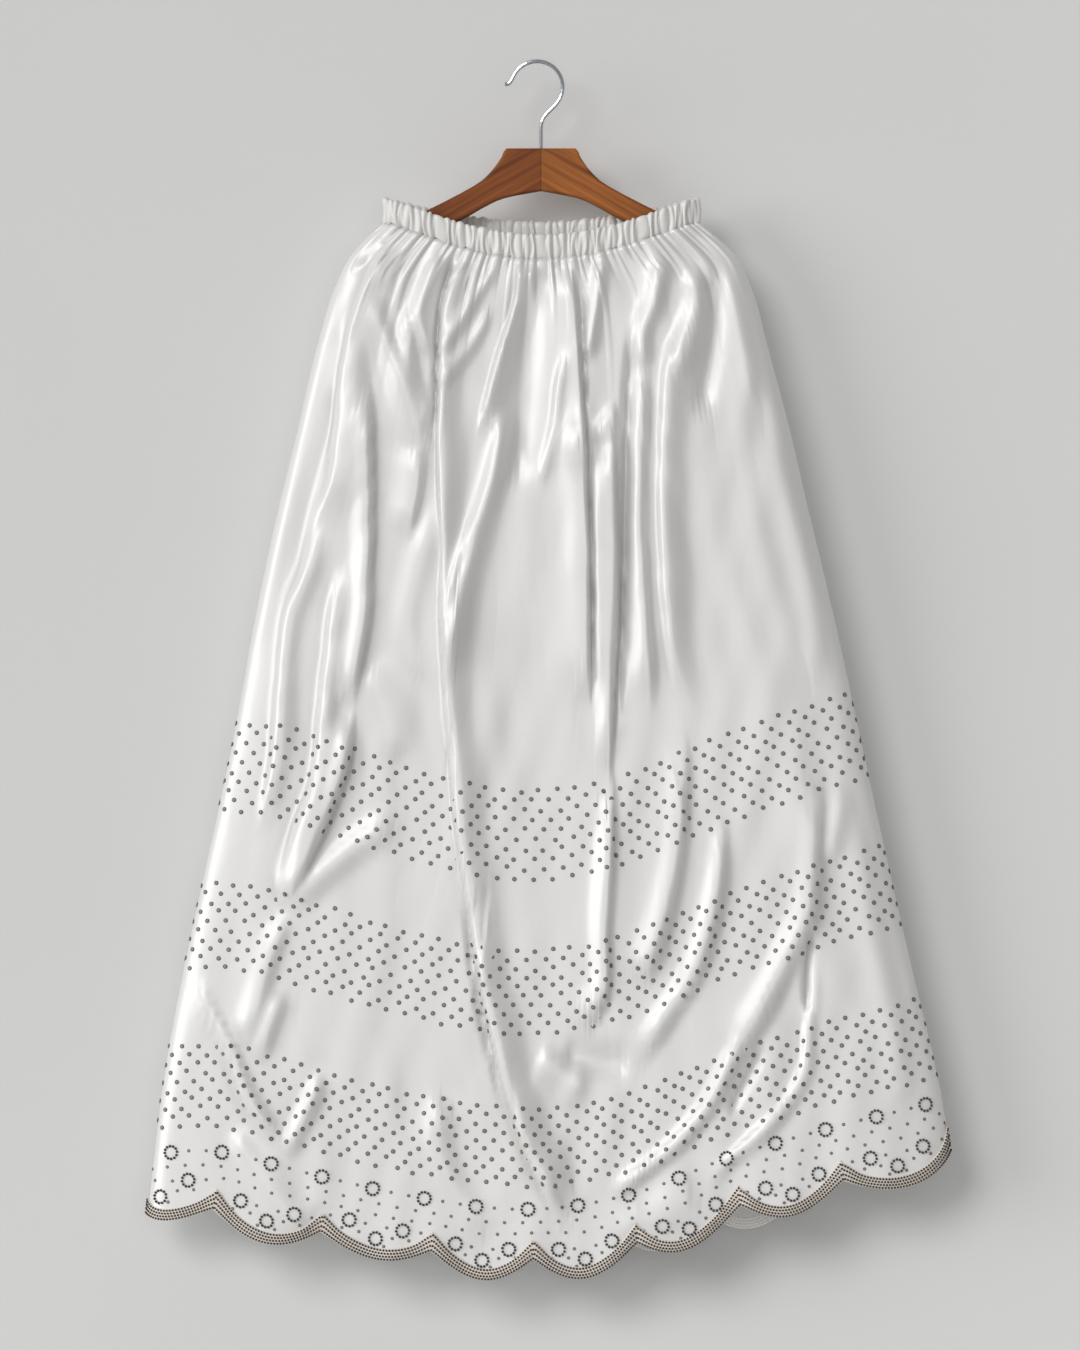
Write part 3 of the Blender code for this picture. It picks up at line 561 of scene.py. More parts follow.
def clear_places(side, u, s):
    """Which small studs stand clear of the bead rings and of the studs listed before them."""
    points = skirt_surface(side, u, s)
    from_rings = np.linalg.norm(points[:, None] - skirt_surface(side, *ring_centres(side)), axis=-1)
    apart = np.linalg.norm(points[:, None] - points, axis=-1)
    before = np.tri(len(points), k=-1, dtype=bool)
    return (from_rings.min(axis=1) > RING_CLEARANCE) & ~((apart < STUD_CLEARANCE) & before).any(axis=1)


def tape_share(side, u):
    """Share of the skirt's length at the upper edge of the hem tape, a little higher at the cusps."""
    step = 0.001
    ends = np.array([np.clip(u - step, 0.0, 1.0), np.clip(u + step, 0.0, 1.0)])
    edge = skirt_surface(side, ends, np.ones_like(ends))
    run, _, fall = np.moveaxis(edge[1] - edge[0], -1, 0)
    cusps = np.array(HEM_EDGES[side])[1:-1, 0]
    away = np.abs(edge[0, :, None, 0] - cusps).min(axis=1)
    rise = TAPE_WIDTH * np.hypot(run, fall) / np.abs(run) + CUSP_RISE * np.exp(-(away / CUSP_REACH) ** 2)
    shares = np.linspace(0.95, 1.0, 26)
    drops = -skirt_surface(side, *np.broadcast_arrays(u[:, None], shares))[..., 2]
    return np.array([np.interp(column[-1] - up, column, shares) for column, up in zip(drops, rise)])


def skirt_frames(side, u, s):
    """Places on the cloth with their directions across, down and out."""
    step = 0.0015
    points = skirt_surface(side, u, s)
    before, after = (skirt_surface(side, np.clip(u + move, 0.0, 1.0), s) for move in (-step, step))
    across = after - before
    down = skirt_surface(side, u, s + step) - skirt_surface(side, u, s - step)
    across /= np.linalg.norm(across, axis=-1, keepdims=True)
    out = np.cross(down, across) * -side
    out /= np.linalg.norm(out, axis=-1, keepdims=True)
    return points, across, np.cross(out, across), out


class Signal:
    """A value inside a material, with arithmetic that adds the nodes it needs."""

    def __init__(self, finish, socket):
        self.finish = finish
        self.socket = socket

    def math(self, operation, *values):
        return self.finish.node("Math", {"operation": operation}, dict(enumerate(values)))

    def __add__(self, other):
        return self.math("ADD", self, other)

    def __radd__(self, other):
        return self.math("ADD", other, self)

    def __sub__(self, other):
        return self.math("SUBTRACT", self, other)

    def __rsub__(self, other):
        return self.math("SUBTRACT", other, self)

    def __mul__(self, other):
        return self.math("MULTIPLY", self, other)

    def __rmul__(self, other):
        return self.math("MULTIPLY", other, self)

    def clamp(self):
        return self.math("MINIMUM", self.math("MAXIMUM", self, 0.0), 1.0)


class Finish:
    """A material of shader nodes that ends in a Principled shader."""

    def __init__(self, name, **constants):
        self.material = bpy.data.materials.new(name)
        self.material.use_nodes = True
        self.tree = self.material.node_tree
        self.shader = self.tree.nodes["Principled BSDF"]
        for socket, value in constants.items():
            self.set(socket.replace("_", " "), value)

    def set(self, socket, value):
        self.feed(self.shader.inputs[socket], value)

    def feed(self, socket, value):
        if isinstance(value, Signal):
            self.tree.links.new(value.socket, socket)
        else:
            socket.default_value = value

    def node(self, kind, settings=None, inputs=None, output=0):
        node = self.tree.nodes.new("ShaderNode" + kind)
        for name, value in (settings or {}).items():
            setattr(node, name, value)
        for name, value in (inputs or {}).items():
            self.feed(node.inputs[name], value)
        return Signal(self, node.outputs[output])

    def noise(self, source, scale, detail=2.0):
        spots = self.node("Mapping", {}, {"Vector": source, "Scale": scale})
        return self.node("TexNoise", {}, {"Vector": spots, "Scale": 1.0, "Detail": detail})

    def blend(self, share, first, second):
        return self.node("Mix", {"data_type": "RGBA"}, {0: share, 6: first, 7: second}, output=2)

    def bump(self, height, depth, strength=1.0):
        values = {"Height": height, "Distance": depth, "Strength": strength}
        self.set("Normal", self.node("Bump", {}, values))


def colour(red, green, blue):
    """A colour from its screen values, from 0 to 255."""
    def linear(value):
        value /= 255.0
        return value / 12.92 if value <= 0.04045 else ((value + 0.055) / 1.055) ** 2.4
    return (linear(red), linear(green), linear(blue), 1.0)


# The valley tone and hollow are the colour and strength of painted shade in the cloth's valleys.
def satin(name, light, dark, painted_shade_tone, roughness, coat, hollow=0.45):
    """Woven cloth with fine long threads, uneven in tone, and with painted shade that darkens its valleys."""
    finish = Finish(name, Coat_Weight=coat, Coat_Roughness=0.33, Coat_IOR=1.7)
    cloth = finish.node("UVMap", {"uv_map": "cloth"})
    threads = finish.noise(cloth, (2400.0, 190.0, 1.0))
    clouds = finish.noise(cloth, (9.0, 5.0, 1.0))
    crumple = finish.noise(cloth, (60.0, 24.0, 1.0), detail=1.0)
    crease = finish.noise(cloth, (21.0, 8.0, 1.0), detail=1.0) - 0.5
    crease = crease.math("ABSOLUTE", crease) * (finish.noise(cloth, (7.0, 3.0, 1.0)) * 5.0 - 2.2).clamp()
    # Painted shade: the base colour is darkened towards the valley tone where the cloth lies deep in a
    # valley.
    painted_valley_shade = finish.node("Attribute", {"attribute_name": "painted_valley_shade"}, output=2)
    even = finish.blend(clouds * 0.8 + threads * 0.2, dark, light)
    finish.set("Base Color", finish.blend(painted_valley_shade * hollow, even, painted_shade_tone))
    finish.set("Roughness", clouds * 0.10 + (roughness - 0.05))
    finish.bump(crumple * 0.5 + crease * 7.0 + threads * 0.03, 0.0010, 0.4)
    return finish.material


def dotted(name, base, other, roughness, metallic, scale, depth=0.00005):
    """A small glossy or metal piece with a little unevenness in its tone."""
    finish = Finish(name, Metallic=metallic)
    place = finish.node("TexCoord", output=3)
    spots = finish.noise(place, (scale, scale, scale))
    finish.set("Base Color", finish.blend(spots, base, other))
    finish.set("Roughness", spots * 0.1 + (roughness - 0.05))
    finish.bump(spots, depth)
    return finish.material


def hanger_wood(colours):
    """Varnished wood with its grain along the arms, two halves of different tone joined at a dark joint in
    the middle, and painted shade on its underside.
    """
    finish = Finish("varnished_wood", Specular_IOR_Level=0.2)
    place = finish.node("TexCoord", output=3)
    split = {"Vector": place}
    x, y, z = (finish.node("SeparateXYZ", {}, split, output=axis) for axis in range(3))
    out = x.math("ABSOLUTE", x)
    along = out * 0.87 - z * 0.5
    across = out * 0.5 + z * 0.87
    grain_place = finish.node("CombineXYZ", {}, {"X": along * 9.0, "Y": across * 240.0, "Z": y * 120.0})
    grain = (finish.noise(grain_place, (1.0, 1.0, 1.0), detail=4.0) * 2.2 - 0.6).clamp()
    right = x.math("GREATER_THAN", x, 0.0)
    left_tone = finish.blend(grain, colours.left_wood_dark, colours.left_wood_light)
    right_tone = finish.blend(grain, colours.right_wood_dark, colours.right_wood_light)
    joint = x.math("LESS_THAN", out, 0.0004) * 0.6
    # Painted shade: faces turned downwards are darkened with the joint's tone, as shade under the arms.
    facing = finish.node("NewGeometry", output=1)
    painted_underside_shade = (finish.node("SeparateXYZ", {}, {"Vector": facing}, output=2) * -1.2).clamp()
    joint_and_painted_shade = (joint + painted_underside_shade * 0.6).clamp()
    tone = finish.blend(joint_and_painted_shade, finish.blend(right, left_tone, right_tone), colours.wood_joint_and_shade)
    finish.set("Base Color", tone)
    finish.set("Roughness", grain * 0.12 + 0.38)
    finish.bump(grain, 0.0002, 0.5)
    return finish.material


def backdrop(colours):
    """Matt pale paper, seen from its front only."""
    finish = Finish("pale_paper", Roughness=0.9, Specular_IOR_Level=0.1)
    place = finish.node("TexCoord", output=3)
    clouds = finish.noise(place, (3.0, 3.0, 3.0))
    finish.set("Base Color", finish.blend(clouds, colours.paper_dark, colours.paper_light))
    seen = finish.node("LightPath", output=0)
    shadow = finish.node("LightPath", output=1)
    behind = finish.node("NewGeometry", output=6)
    clear = (seen * behind + shadow).clamp()
    through = finish.node("BsdfTransparent")
    shader = Signal(finish, finish.shader.outputs[0])
    mixed = finish.node("MixShader", {}, {0: clear, 1: shader, 2: through})
    finish.feed(finish.tree.nodes["Material Output"].inputs["Surface"], mixed)
    return finish.material


def add_object(name, points, faces, materials, face_materials=None):
    """A smooth-shaded mesh object from points in millimetres."""
    mesh = bpy.data.meshes.new(name)
    mesh.from_pydata((np.reshape(points, (-1, 3)) * MM).tolist(), [], faces)
    for material in materials:
        mesh.materials.append(material)
    if face_materials is not None:
        mesh.polygons.foreach_set("material_index", face_materials)
    mesh.shade_smooth()
    piece = bpy.data.objects.new(name, mesh)
    bpy.context.scene.collection.objects.link(piece)
    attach(piece, BODY)
    return piece


def grid_faces(rows, columns, flip=False, closed=False):
    """Four-sided faces of a grid whose points are stored row by row."""
    index = np.arange(rows * columns).reshape(rows, columns)
    if closed:
        index = np.concatenate([index, index[:, :1]], axis=1)
    corners = [index[:-1, :-1], index[:-1, 1:], index[1:, 1:], index[1:, :-1]]
    if flip:
        corners.reverse()
    return np.stack(corners, axis=-1).reshape(-1, 4).tolist()


def lay_threads(piece, across, down):
    """Give a cloth its flat coordinates in metres, so that the threads follow it."""
    layer = piece.data.uv_layers.new(name="cloth")
    corners = np.empty(len(piece.data.loops), dtype=np.int32)
    piece.data.loops.foreach_get("vertex_index", corners)
    flat = np.stack([np.ravel(across), np.ravel(down)], axis=-1)
    layer.data.foreach_set("uv", flat[corners].ravel())


def mark_painted_shade(piece, depths):
    """Keep how deep in a valley each point of a cloth lies, for the painted shade in its finish."""
    layer = piece.data.attributes.new("painted_valley_shade", "FLOAT", "POINT")
    layer.data.foreach_set("value", np.ravel(depths))


def thicken(piece, thickness, inside=1):
    """Make a sheet into a closed shell, with another material on its wrong side."""
    shell = piece.modifiers.new("thickness", "SOLIDIFY")
    shell.thickness = thickness * MM
    shell.offset = -1.0
    shell.material_offset = inside


def column_shares(columns):
    """Shares across a panel for the cloth's columns, closer together at the two sharpest laps."""
    fine = np.linspace(0.0, 1.0, 2001)
    density = np.ones_like(fine)
    for centre, spread, extra in DENSE_COLUMNS:
        density += extra * np.exp(-((fine - centre) / spread) ** 4)
    filled = np.concatenate(([0.0], np.cumsum((density[1:] + density[:-1]) / 2)))
    return np.interp(np.linspace(0.0, filled[-1], columns), filled, fine)


def valleys(depths):
    """How far each point of a grid lies below the cloth around it, from 0 to 1."""
    around = depths
    for _ in range(VALLEY_SPREAD):
        padded = np.pad(around, 1, mode="edge")
        around = (padded[1:-1, :-2] + padded[1:-1, 2:] + around) / 3.0
    return np.clip((around - depths) / VALLEY_DEPTH, 0.0, 1.0)


def row_shares(rows):
    """Shares down the skirt for the cloth's rows, closer together at the gathers and at the hem."""
    even = np.linspace(0.0, 1.0, rows)
    return even - 0.075 * np.sin(2.0 * math.pi * even) - 0.012 * np.sin(4.0 * math.pi * even)


def flat_size(points):
    """Width of the widest row, length of the middle column and area of a grid of points, in metres."""
    width = np.linalg.norm(np.diff(points, axis=1), axis=-1).sum(axis=1).max() * MM
    middle = points[:, points.shape[1] // 2]
    length = np.linalg.norm(np.diff(middle, axis=0), axis=-1).sum() * MM
    sides = np.cross(points[1:, :-1] - points[:-1, :-1], points[:-1, 1:] - points[:-1, :-1])
    return width, length, np.linalg.norm(sides, axis=-1).sum() * MM * MM


def turned(profile, sides, tip):
    """Points and faces of a small round shape, from rings given by radius and height up to a tip."""
    angles = np.arange(sides) * 2.0 * math.pi / sides
    radii, heights = (np.repeat(values, sides) for values in zip(*profile))
    angles = np.tile(angles, len(profile))
    rings = np.stack([radii * np.cos(angles), radii * np.sin(angles), heights], axis=-1)
    points = np.concatenate([rings, [(0.0, 0.0, tip)]])
    faces = grid_faces(len(profile), sides, closed=True)
    last = (len(profile) - 1) * sides
    faces += [(last + i, last + (i + 1) % sides, len(points) - 1) for i in range(sides)]
    return points, faces


def scatter(name, shape, places, materials, face_materials=None):
    """Join copies of a small shape, one at each place on the cloth, into one mesh."""
    shape_points, shape_faces = shape
    centres, across, along, out = (np.reshape(part, (-1, 1, 3)) for part in places)
    points = centres + shape_points[:, :1] * across + shape_points[:, 1:2] * along + shape_points[:, 2:] * out
    faces = []
    for start in range(0, points.shape[0] * points.shape[1], points.shape[1]):
        faces += [[start + corner for corner in face] for face in shape_faces]
    tones = None if face_materials is None else list(face_materials) * points.shape[0]
    return add_object(name, points, faces, materials, tones)


def stud_shape(radius, sides):
    """A round setting with a low domed face, and which of its two materials each face has."""
    profile = ((1.0, -0.1), (0.96, 0.26), (0.70, 0.34), (0.42, 0.37))
    shape = turned([(radius * r, radius * z) for r, z in profile], sides, radius * 0.38)
    tones = [0] * (2 * sides) + [1] * (2 * sides)
    return shape, tones


def bead_shape(radius):
    """A small round bead."""
    rows = [(radius * math.sin(turn), -radius * math.cos(turn)) for turn in (0.9, 1.6, 2.4)]
    return turned(rows, 7, radius)


class SkirtSettings(bpy.types.PropertyGroup):
    """Sizes of the cloth's detail and the strength of the lights."""

    columns: bpy.props.IntProperty(
        name="Cloth columns", description="Columns of faces across each panel",
        default=400, min=40, subtype="UNSIGNED"
    )
    rows: bpy.props.IntProperty(
        name="Cloth rows", description="Rows of faces down each panel",
        default=118, min=40, subtype="UNSIGNED"
    )
    cloth_thickness: bpy.props.FloatProperty(
        name="Cloth thickness", description="Thickness of the satin", default=1.2 * MM, unit="LENGTH"
    )
    stud_radius: bpy.props.FloatProperty(
        name="Stud radius", description="Radius of the studs in the three bands",
        default=2.1 * MM, unit="LENGTH"
    )
    small_stud_radius: bpy.props.FloatProperty(
        name="Small stud radius", description="Radius of the studs near the hem",
        default=1.55 * MM, unit="LENGTH"
    )
    bead_radius: bpy.props.FloatProperty(
        name="Bead radius", description="Radius of the beads in the rings", default=1.3 * MM, unit="LENGTH"
    )
    ring_radius: bpy.props.FloatProperty(
        name="Ring radius", description="Radius of the line of beads in a ring",
        default=5.8 * MM, unit="LENGTH"
    )
    key_strength: bpy.props.FloatProperty(
        name="Key light", description="Strength of the soft light at the upper left",
        default=1.15, subtype="FACTOR"
    )
    side_strength: bpy.props.FloatProperty(
        name="Side light", description="Strength of the raking light at the left",
        default=1.2, subtype="FACTOR"
    )
    fill_strength: bpy.props.FloatProperty(
        name="Fill light", description="Strength of the broad light in front",
        default=0.48, subtype="FACTOR"
    )
    rear_strength: bpy.props.FloatProperty(
        name="Rear light", description="Strength of the broad light behind",
        default=1.2, subtype="FACTOR"
    )
    room_strength: bpy.props.FloatProperty(
        name="Room light", description="Strength of the even light from all round",
        default=0.29, subtype="FACTOR"
    )


def tone_setting(name, description, red, green, blue):
    """A colour that can be changed, with its default given by screen values."""
    return bpy.props.FloatVectorProperty(
        name=name, description=description, default=colour(red, green, blue),
        size=4, min=0.0, max=1.0, subtype="COLOR"
    )


class SkirtColours(bpy.types.PropertyGroup):
    """The two tones between which each finish varies, the tone of the painted shade in the valleys, and the
    tone of the wood's joint, also painted as shade under the wood.
    """

    satin_light: tone_setting("Satin, light", "Lighter tone of the satin's right side", 219, 218, 216)
    satin_dark: tone_setting("Satin, dark", "Darker tone of the satin's right side", 209, 208, 206)
    back_light: tone_setting("Wrong side, light", "Lighter tone of the satin's wrong side", 234, 232, 228)
    back_dark: tone_setting("Wrong side, dark", "Darker tone of the satin's wrong side", 225, 223, 219)
    casing_light: tone_setting("Casing, light", "Lighter tone of the gathered casing", 219, 218, 215)
    casing_dark: tone_setting("Casing, dark", "Darker tone of the gathered casing", 206, 205, 202)
    # Painted shade: the tone the satin is darkened to deep in its valleys, where shade falls.
    painted_valley_shade: tone_setting("Valleys", "Tone of the satin deep in its valleys", 150, 146, 142)
    tape_light: tone_setting("Tape, light", "Lighter tone of the hem tapes", 236, 228, 218)
    tape_dark: tone_setting("Tape, dark", "Darker tone of the hem tapes", 208, 198, 187)
    tape_bead_light: tone_setting("Tape beads, light", "Lighter tone of the tapes' beads", 66, 54, 42)
    tape_bead_dark: tone_setting("Tape beads, dark", "Darker tone of the tapes' beads", 28, 22, 16)
    stitch_light: tone_setting("Stitches, light", "Lighter tone of the pale stitches", 255, 254, 252)
    stitch_dark: tone_setting("Stitches, dark", "Darker tone of the pale stitches", 250, 249, 246)
    stud_rim_light: tone_setting("Stud rims, light", "Lighter tone of the studs' rims", 98, 94, 88)
    stud_rim_dark: tone_setting("Stud rims, dark", "Darker tone of the studs' rims", 70, 66, 62)
    stud_face_light: tone_setting("Stud faces, light", "Lighter tone of the studs' faces", 146, 142, 136)
    stud_face_dark: tone_setting("Stud faces, dark", "Darker tone of the studs' faces", 112, 110, 104)
    ring_bead_light: tone_setting("Ring beads, light", "Lighter tone of the beads in the rings", 82, 74, 66)
    ring_bead_dark: tone_setting("Ring beads, dark", "Darker tone of the beads in the rings", 36, 31, 26)
    left_wood_light: tone_setting("Left wood, light", "Lighter grain of the hanger's left half", 146, 80, 32)
    left_wood_dark: tone_setting("Left wood, dark", "Darker grain of the hanger's left half", 84, 38, 10)
    right_wood_light: tone_setting("Right wood, light", "Lighter grain of its right half", 174, 104, 46)
    right_wood_dark: tone_setting("Right wood, dark", "Darker grain of its right half", 102, 52, 16)
    # A real dark joint between the halves; the same tone is painted as shade on the wood's underside.
    wood_joint_and_shade: tone_setting("Wood joint", "Tone of the halves' joint and of the underside", 52, 26, 12)
    steel_light: tone_setting("Steel, light", "Lighter tone of the hook", 214, 216, 220)
    steel_dark: tone_setting("Steel, dark", "Darker tone of the hook", 196, 198, 202)
    paper_light: tone_setting("Backdrop, light", "Lighter tone of the backdrop", 211, 211, 210)
    paper_dark: tone_setting("Backdrop, dark", "Darker tone of the backdrop", 207, 207, 206)


class SKIRT_OT_panels(bpy.types.Operator):
    """Make the front and back panels' cloth"""

    bl_idname = "skirt.panels"
    bl_label = "Cloth panels"

    def execute(self, context):
        settings = context.scene.skirt
        colours = context.scene.skirt_colours
        # Painted shade darkens the valleys of the right side, and only faintly those of the wrong side.
        right_side = satin("satin_face", colours.satin_light, colours.satin_dark, colours.painted_valley_shade,
                           roughness=0.45, coat=1.0)
        wrong_side = satin("satin_back", colours.back_light, colours.back_dark, colours.painted_valley_shade,
                           roughness=0.7, coat=0.0, hollow=0.1)
        u = column_shares(settings.columns + 1)[None, :]
        s = row_shares(settings.rows + 1)[:, None]
        u, s = np.broadcast_arrays(u, s)
        for side, label in SIDES.items():
            points = skirt_surface(side, u, s)
            faces = grid_faces(settings.rows + 1, settings.columns + 1, flip=side == FRONT)
            cloth = add_object(f"{label}_cloth", points, faces, [right_side, wrong_side])
            width, length, area = flat_size(points)
            lay_threads(cloth, u * width, s * length)
            # Painted shade: each point's depth in a valley, for darkening the satin there.
            mark_painted_shade(cloth, valleys(side * points[..., 1]))
            thicken(cloth, settings.cloth_thickness / MM)
            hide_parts(f"{label}_panel")
        return {"FINISHED"}


class SKIRT_OT_casing(bpy.types.Operator):
    """Make the gathered casing round the waist"""

    bl_idname = "skirt.casing"
    bl_label = "Waist casing"

    def execute(self, context):
        colours = context.scene.skirt_colours
        # The gathers' valleys get strong painted shade.
        face = satin("gathered_satin", colours.casing_light, colours.casing_dark, colours.painted_valley_shade,
                     roughness=0.5, coat=0.35, hollow=0.8)
        fine = np.linspace(0.0, 1.0, 481)[:-1]
        ring = []
        for side, u in ((FRONT, fine), (BACK, 1.0 - fine)):
            across = waist_across(u)
            upper_lobe, upper_height, _ = gathers(1.0 - u)
            lower_lobe, lower_height, _ = gathers(u)
            lean = sum(size * np.sin(u * waves) for size, waves in CASING_LEANS)
            depth = section_depth(across) * WAIST_HALF_DEPTH
            normal_x = np.sign(across) * np.abs(across) ** 1.7 / WAIST_HALF_WIDTH
            normal_y = np.maximum(section_depth(across), 0.02) ** 1.7 / WAIST_HALF_DEPTH
            size = np.hypot(normal_x, normal_y)
            normal = np.stack([normal_x / size, side * normal_y / size, 0.0 * across], axis=-1)
            centre_y = side * (depth + SEAM_GAP / 2)
            centre = np.stack([across * WAIST_HALF_WIDTH, centre_y, 0.0 * across], axis=-1)
            top = casing_top_drop(side, across)
            rows = []
            for out, below in CASING_SECTION:
                mix = min(max(below / 20.0, 0.0), 1.0)
                lobe = upper_lobe * (1.0 - mix) + lower_lobe * mix
                heights = upper_height * (1.0 - mix) + lower_height * mix
                push = np.clip(out, -0.7, 1.0) * heights * (lobe - 0.3)
                bend = lean * math.sin(math.pi * below / 21.0)
                turn = 1.0 - CASING_EDGE_TURN * mix * (2.0 - mix) * (1.0 - mix * 0.1)
                rise = 0.7 * heights * (lobe - 0.5) * turn
                point = centre + normal * (out + push)[:, None]
                point[:, 0] += bend
                point[:, 2] = -(top + below - rise + EDGE_WAVER * mix * np.sin(u * 97.0) * np.sin(u * 41.0))
                rows.append(point)
            ring.append(np.stack(rows))
        points = np.concatenate(ring, axis=1)
        rows, columns = points.shape[:2]
        faces = grid_faces(rows, columns, closed=True)
        last_row = (rows - 1) * columns
        for column in range(columns):
            after = (column + 1) % columns
            faces.append([last_row + column, last_row + after, after, column])
        casing = add_object("casing_cloth", points, faces, [face])
        # Painted shade: each point's depth between the gathers, for darkening the casing there.
        mark_painted_shade(casing, valleys(np.linalg.norm(points[..., :2] * (0.1, 1.0), axis=-1)))
        width = flat_size(np.concatenate([points, points[:1]]))[0]
        lay_threads(casing, np.broadcast_to(np.linspace(0, 1.0, columns), (rows, columns)),
                    np.broadcast_to(np.linspace(0, 0.05, rows)[:, None], (rows, columns)))
        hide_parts("waist_casing")
        return {"FINISHED"}


class SKIRT_OT_hems(bpy.types.Operator):
    """Make the beaded tapes along the scalloped hems"""

    bl_idname = "skirt.hems"
    bl_label = "Hem tapes"

    def execute(self, context):
        columns = context.scene.skirt.columns
        colours = context.scene.skirt_colours
        tape = dotted("hem_tape", colours.tape_dark, colours.tape_light,
                      roughness=0.6, metallic=0.0, scale=900.0, depth=0.0002)
        brown = dotted("brown_beads", colours.tape_bead_dark, colours.tape_bead_light,
                       roughness=0.5, metallic=0.1, scale=1400.0)
        pale = dotted("pale_thread", colours.stitch_dark, colours.stitch_light,
                      roughness=0.6, metallic=0.0, scale=1400.0)
        shape = bead_shape(TAPE_BEAD_RADIUS)
        stitch = turned(STITCH_RINGS, 6, STITCH_HEIGHT)
        for side, label in SIDES.items():
            across = np.linspace(0.0, 1.0, 2 * columns + 1)
            top = tape_share(side, across)
            share = np.linspace(0.0, 1.0, 4)[:, None]
            u = np.broadcast_to(across, (4, len(across)))
            points, _, _, out = skirt_frames(side, u, top + (1.0 - top) * share)
            points = points + out * TAPE_LIFT
            faces = grid_faces(4, len(across), flip=side == FRONT)
            strip = add_object(f"{label}_hem_tape", points, faces, [tape])
            thicken(strip, TAPE_THICKNESS, inside=0)
            width, length, area = flat_size(points)
            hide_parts(f"{label}_hem_trim")
            count = round(width / (TAPE_PITCH * MM))
            line = np.cumsum(np.linalg.norm(np.diff(points[1], axis=0), axis=-1))
            line = np.concatenate(([0.0], line)) / line[-1]
            bead_u = []
            bead_s = []
            for row in range(TAPE_ROWS):
                row_u = np.interp((np.arange(count) + 0.25 + 0.5 * (row % 2)) / count, line, across)
                row_top = tape_share(side, row_u)
                bead_u.append(row_u)
                bead_s.append(row_top + (1.0 - row_top) * (row + 0.5) / TAPE_ROWS)
            places = list(skirt_frames(side, np.concatenate(bead_u), np.concatenate(bead_s)))
            back_places = [places[0] - places[3] * STITCH_DEPTH, places[1], -places[2], -places[3]]
            places[0] = places[0] + places[3] * TAPE_BEAD_LIFT
            beads = scatter(f"{label}_hem_beads", shape, places, [brown])
            stitches = scatter(f"{label}_hem_stitches", stitch, back_places, [pale])
        return {"FINISHED"}


class SKIRT_OT_studs(bpy.types.Operator):
    """Set the bands of round studs and the small studs near the hem"""

    bl_idname = "skirt.studs"
    bl_label = "Studs"

    def execute(self, context):
        settings = context.scene.skirt
        colours = context.scene.skirt_colours
        rim = dotted("stud_rim", colours.stud_rim_dark, colours.stud_rim_light,
                     roughness=0.5, metallic=0.4, scale=700.0)
        face = dotted("stud_face", colours.stud_face_dark, colours.stud_face_light,
                      roughness=0.6, metallic=0.2, scale=700.0)
        shape, tones = stud_shape(settings.stud_radius / MM, 10)
        small_shape, small_tones = stud_shape(settings.small_stud_radius / MM, 8)
        random = np.random.default_rng(STUD_SEED)
        for side, label in SIDES.items():
            for band, (first, last) in enumerate(STUD_BANDS):
                count = row_count(side, (first + last) / 2, STUD_PITCH)
                u = []
                s = np.linspace(first, last, STUD_ROWS)
                for row, share in enumerate(s):
                    u.append(even_shares(side, share, count, 0.25 + 0.5 * (row % 2)))
                stray_u, stray_s = random.uniform(-STUD_STRAY, STUD_STRAY, (2, STUD_ROWS, count))
                places = skirt_frames(side, np.stack(u) + stray_u * 1.2, s[:, None] + stray_s)
                studs = scatter(f"{label}_studs_{band + 1}", shape, places, [rim, face], tones)
            spots = [scallop_places(side, [(way * x, up) for x, up in SCALLOP_STUDS for way in (-1, 1)])]
            for gap in SMALL_STUD_GAPS:
                u = even_shares(side, UPPER_RING_LEVEL, UPPER_RINGS, 0.5 + gap)[:-1]
                spots.append((u, level_share(side, u, UPPER_RING_LEVEL)))
            for level, shift in SMALL_STUD_LEVELS:
                count = row_count(side, level, SMALL_STUD_PITCH)
                u = even_shares(side, level, count, shift + 0.3)
                spots.append((u, level_share(side, u, level)))
            u, s = (np.concatenate(values) for values in zip(*spots))
            clear = clear_places(side, u, s)
            places = skirt_frames(side, u[clear], s[clear])
            studs = scatter(f"{label}_small_studs", small_shape, places, [rim, face], small_tones)
        return {"FINISHED"}


class SKIRT_OT_rings(bpy.types.Operator):
    """Sew the rings of dark beads above and on the scallops"""

    bl_idname = "skirt.rings"
    bl_label = "Bead rings"

    def execute(self, context):
        settings = context.scene.skirt
        colours = context.scene.skirt_colours
        dark = dotted("ring_beads", colours.ring_bead_dark, colours.ring_bead_light,
                      roughness=0.4, metallic=0.2, scale=1400.0)
        shape = bead_shape(settings.bead_radius / MM)
        radius = settings.ring_radius / MM
        turns = np.arange(RING_BEADS) * 2.0 * math.pi / RING_BEADS
        for side, label in SIDES.items():
            u, s = ring_centres(side)
            step = 0.003
            per_u = (skirt_surface(side, u + step, s) - skirt_surface(side, u - step, s)) / (2 * step)
            per_s = (skirt_surface(side, u, s + step) - skirt_surface(side, u, s - step)) / (2 * step)
            out = np.cross(per_u, per_s)
            down = np.cross(out, per_u)
            down /= np.linalg.norm(down, axis=-1, keepdims=True)
            fall = radius * np.sin(turns) / np.sum(per_s * down, axis=-1)[:, None]
            size = np.sum(per_u * per_u, axis=-1)[:, None]
            slide = fall * np.sum(per_s * per_u, axis=-1)[:, None] / size
            ring_u = u[:, None] + radius * np.cos(turns) / np.sqrt(size) - slide
            ring_s = s[:, None] + fall
            places = list(skirt_frames(side, ring_u, ring_s))
            places[0] = places[0] + places[3] * settings.bead_radius / MM * 0.6
            rings = scatter(f"{label}_bead_rings", shape, places, [dark])
        return {"FINISHED"}


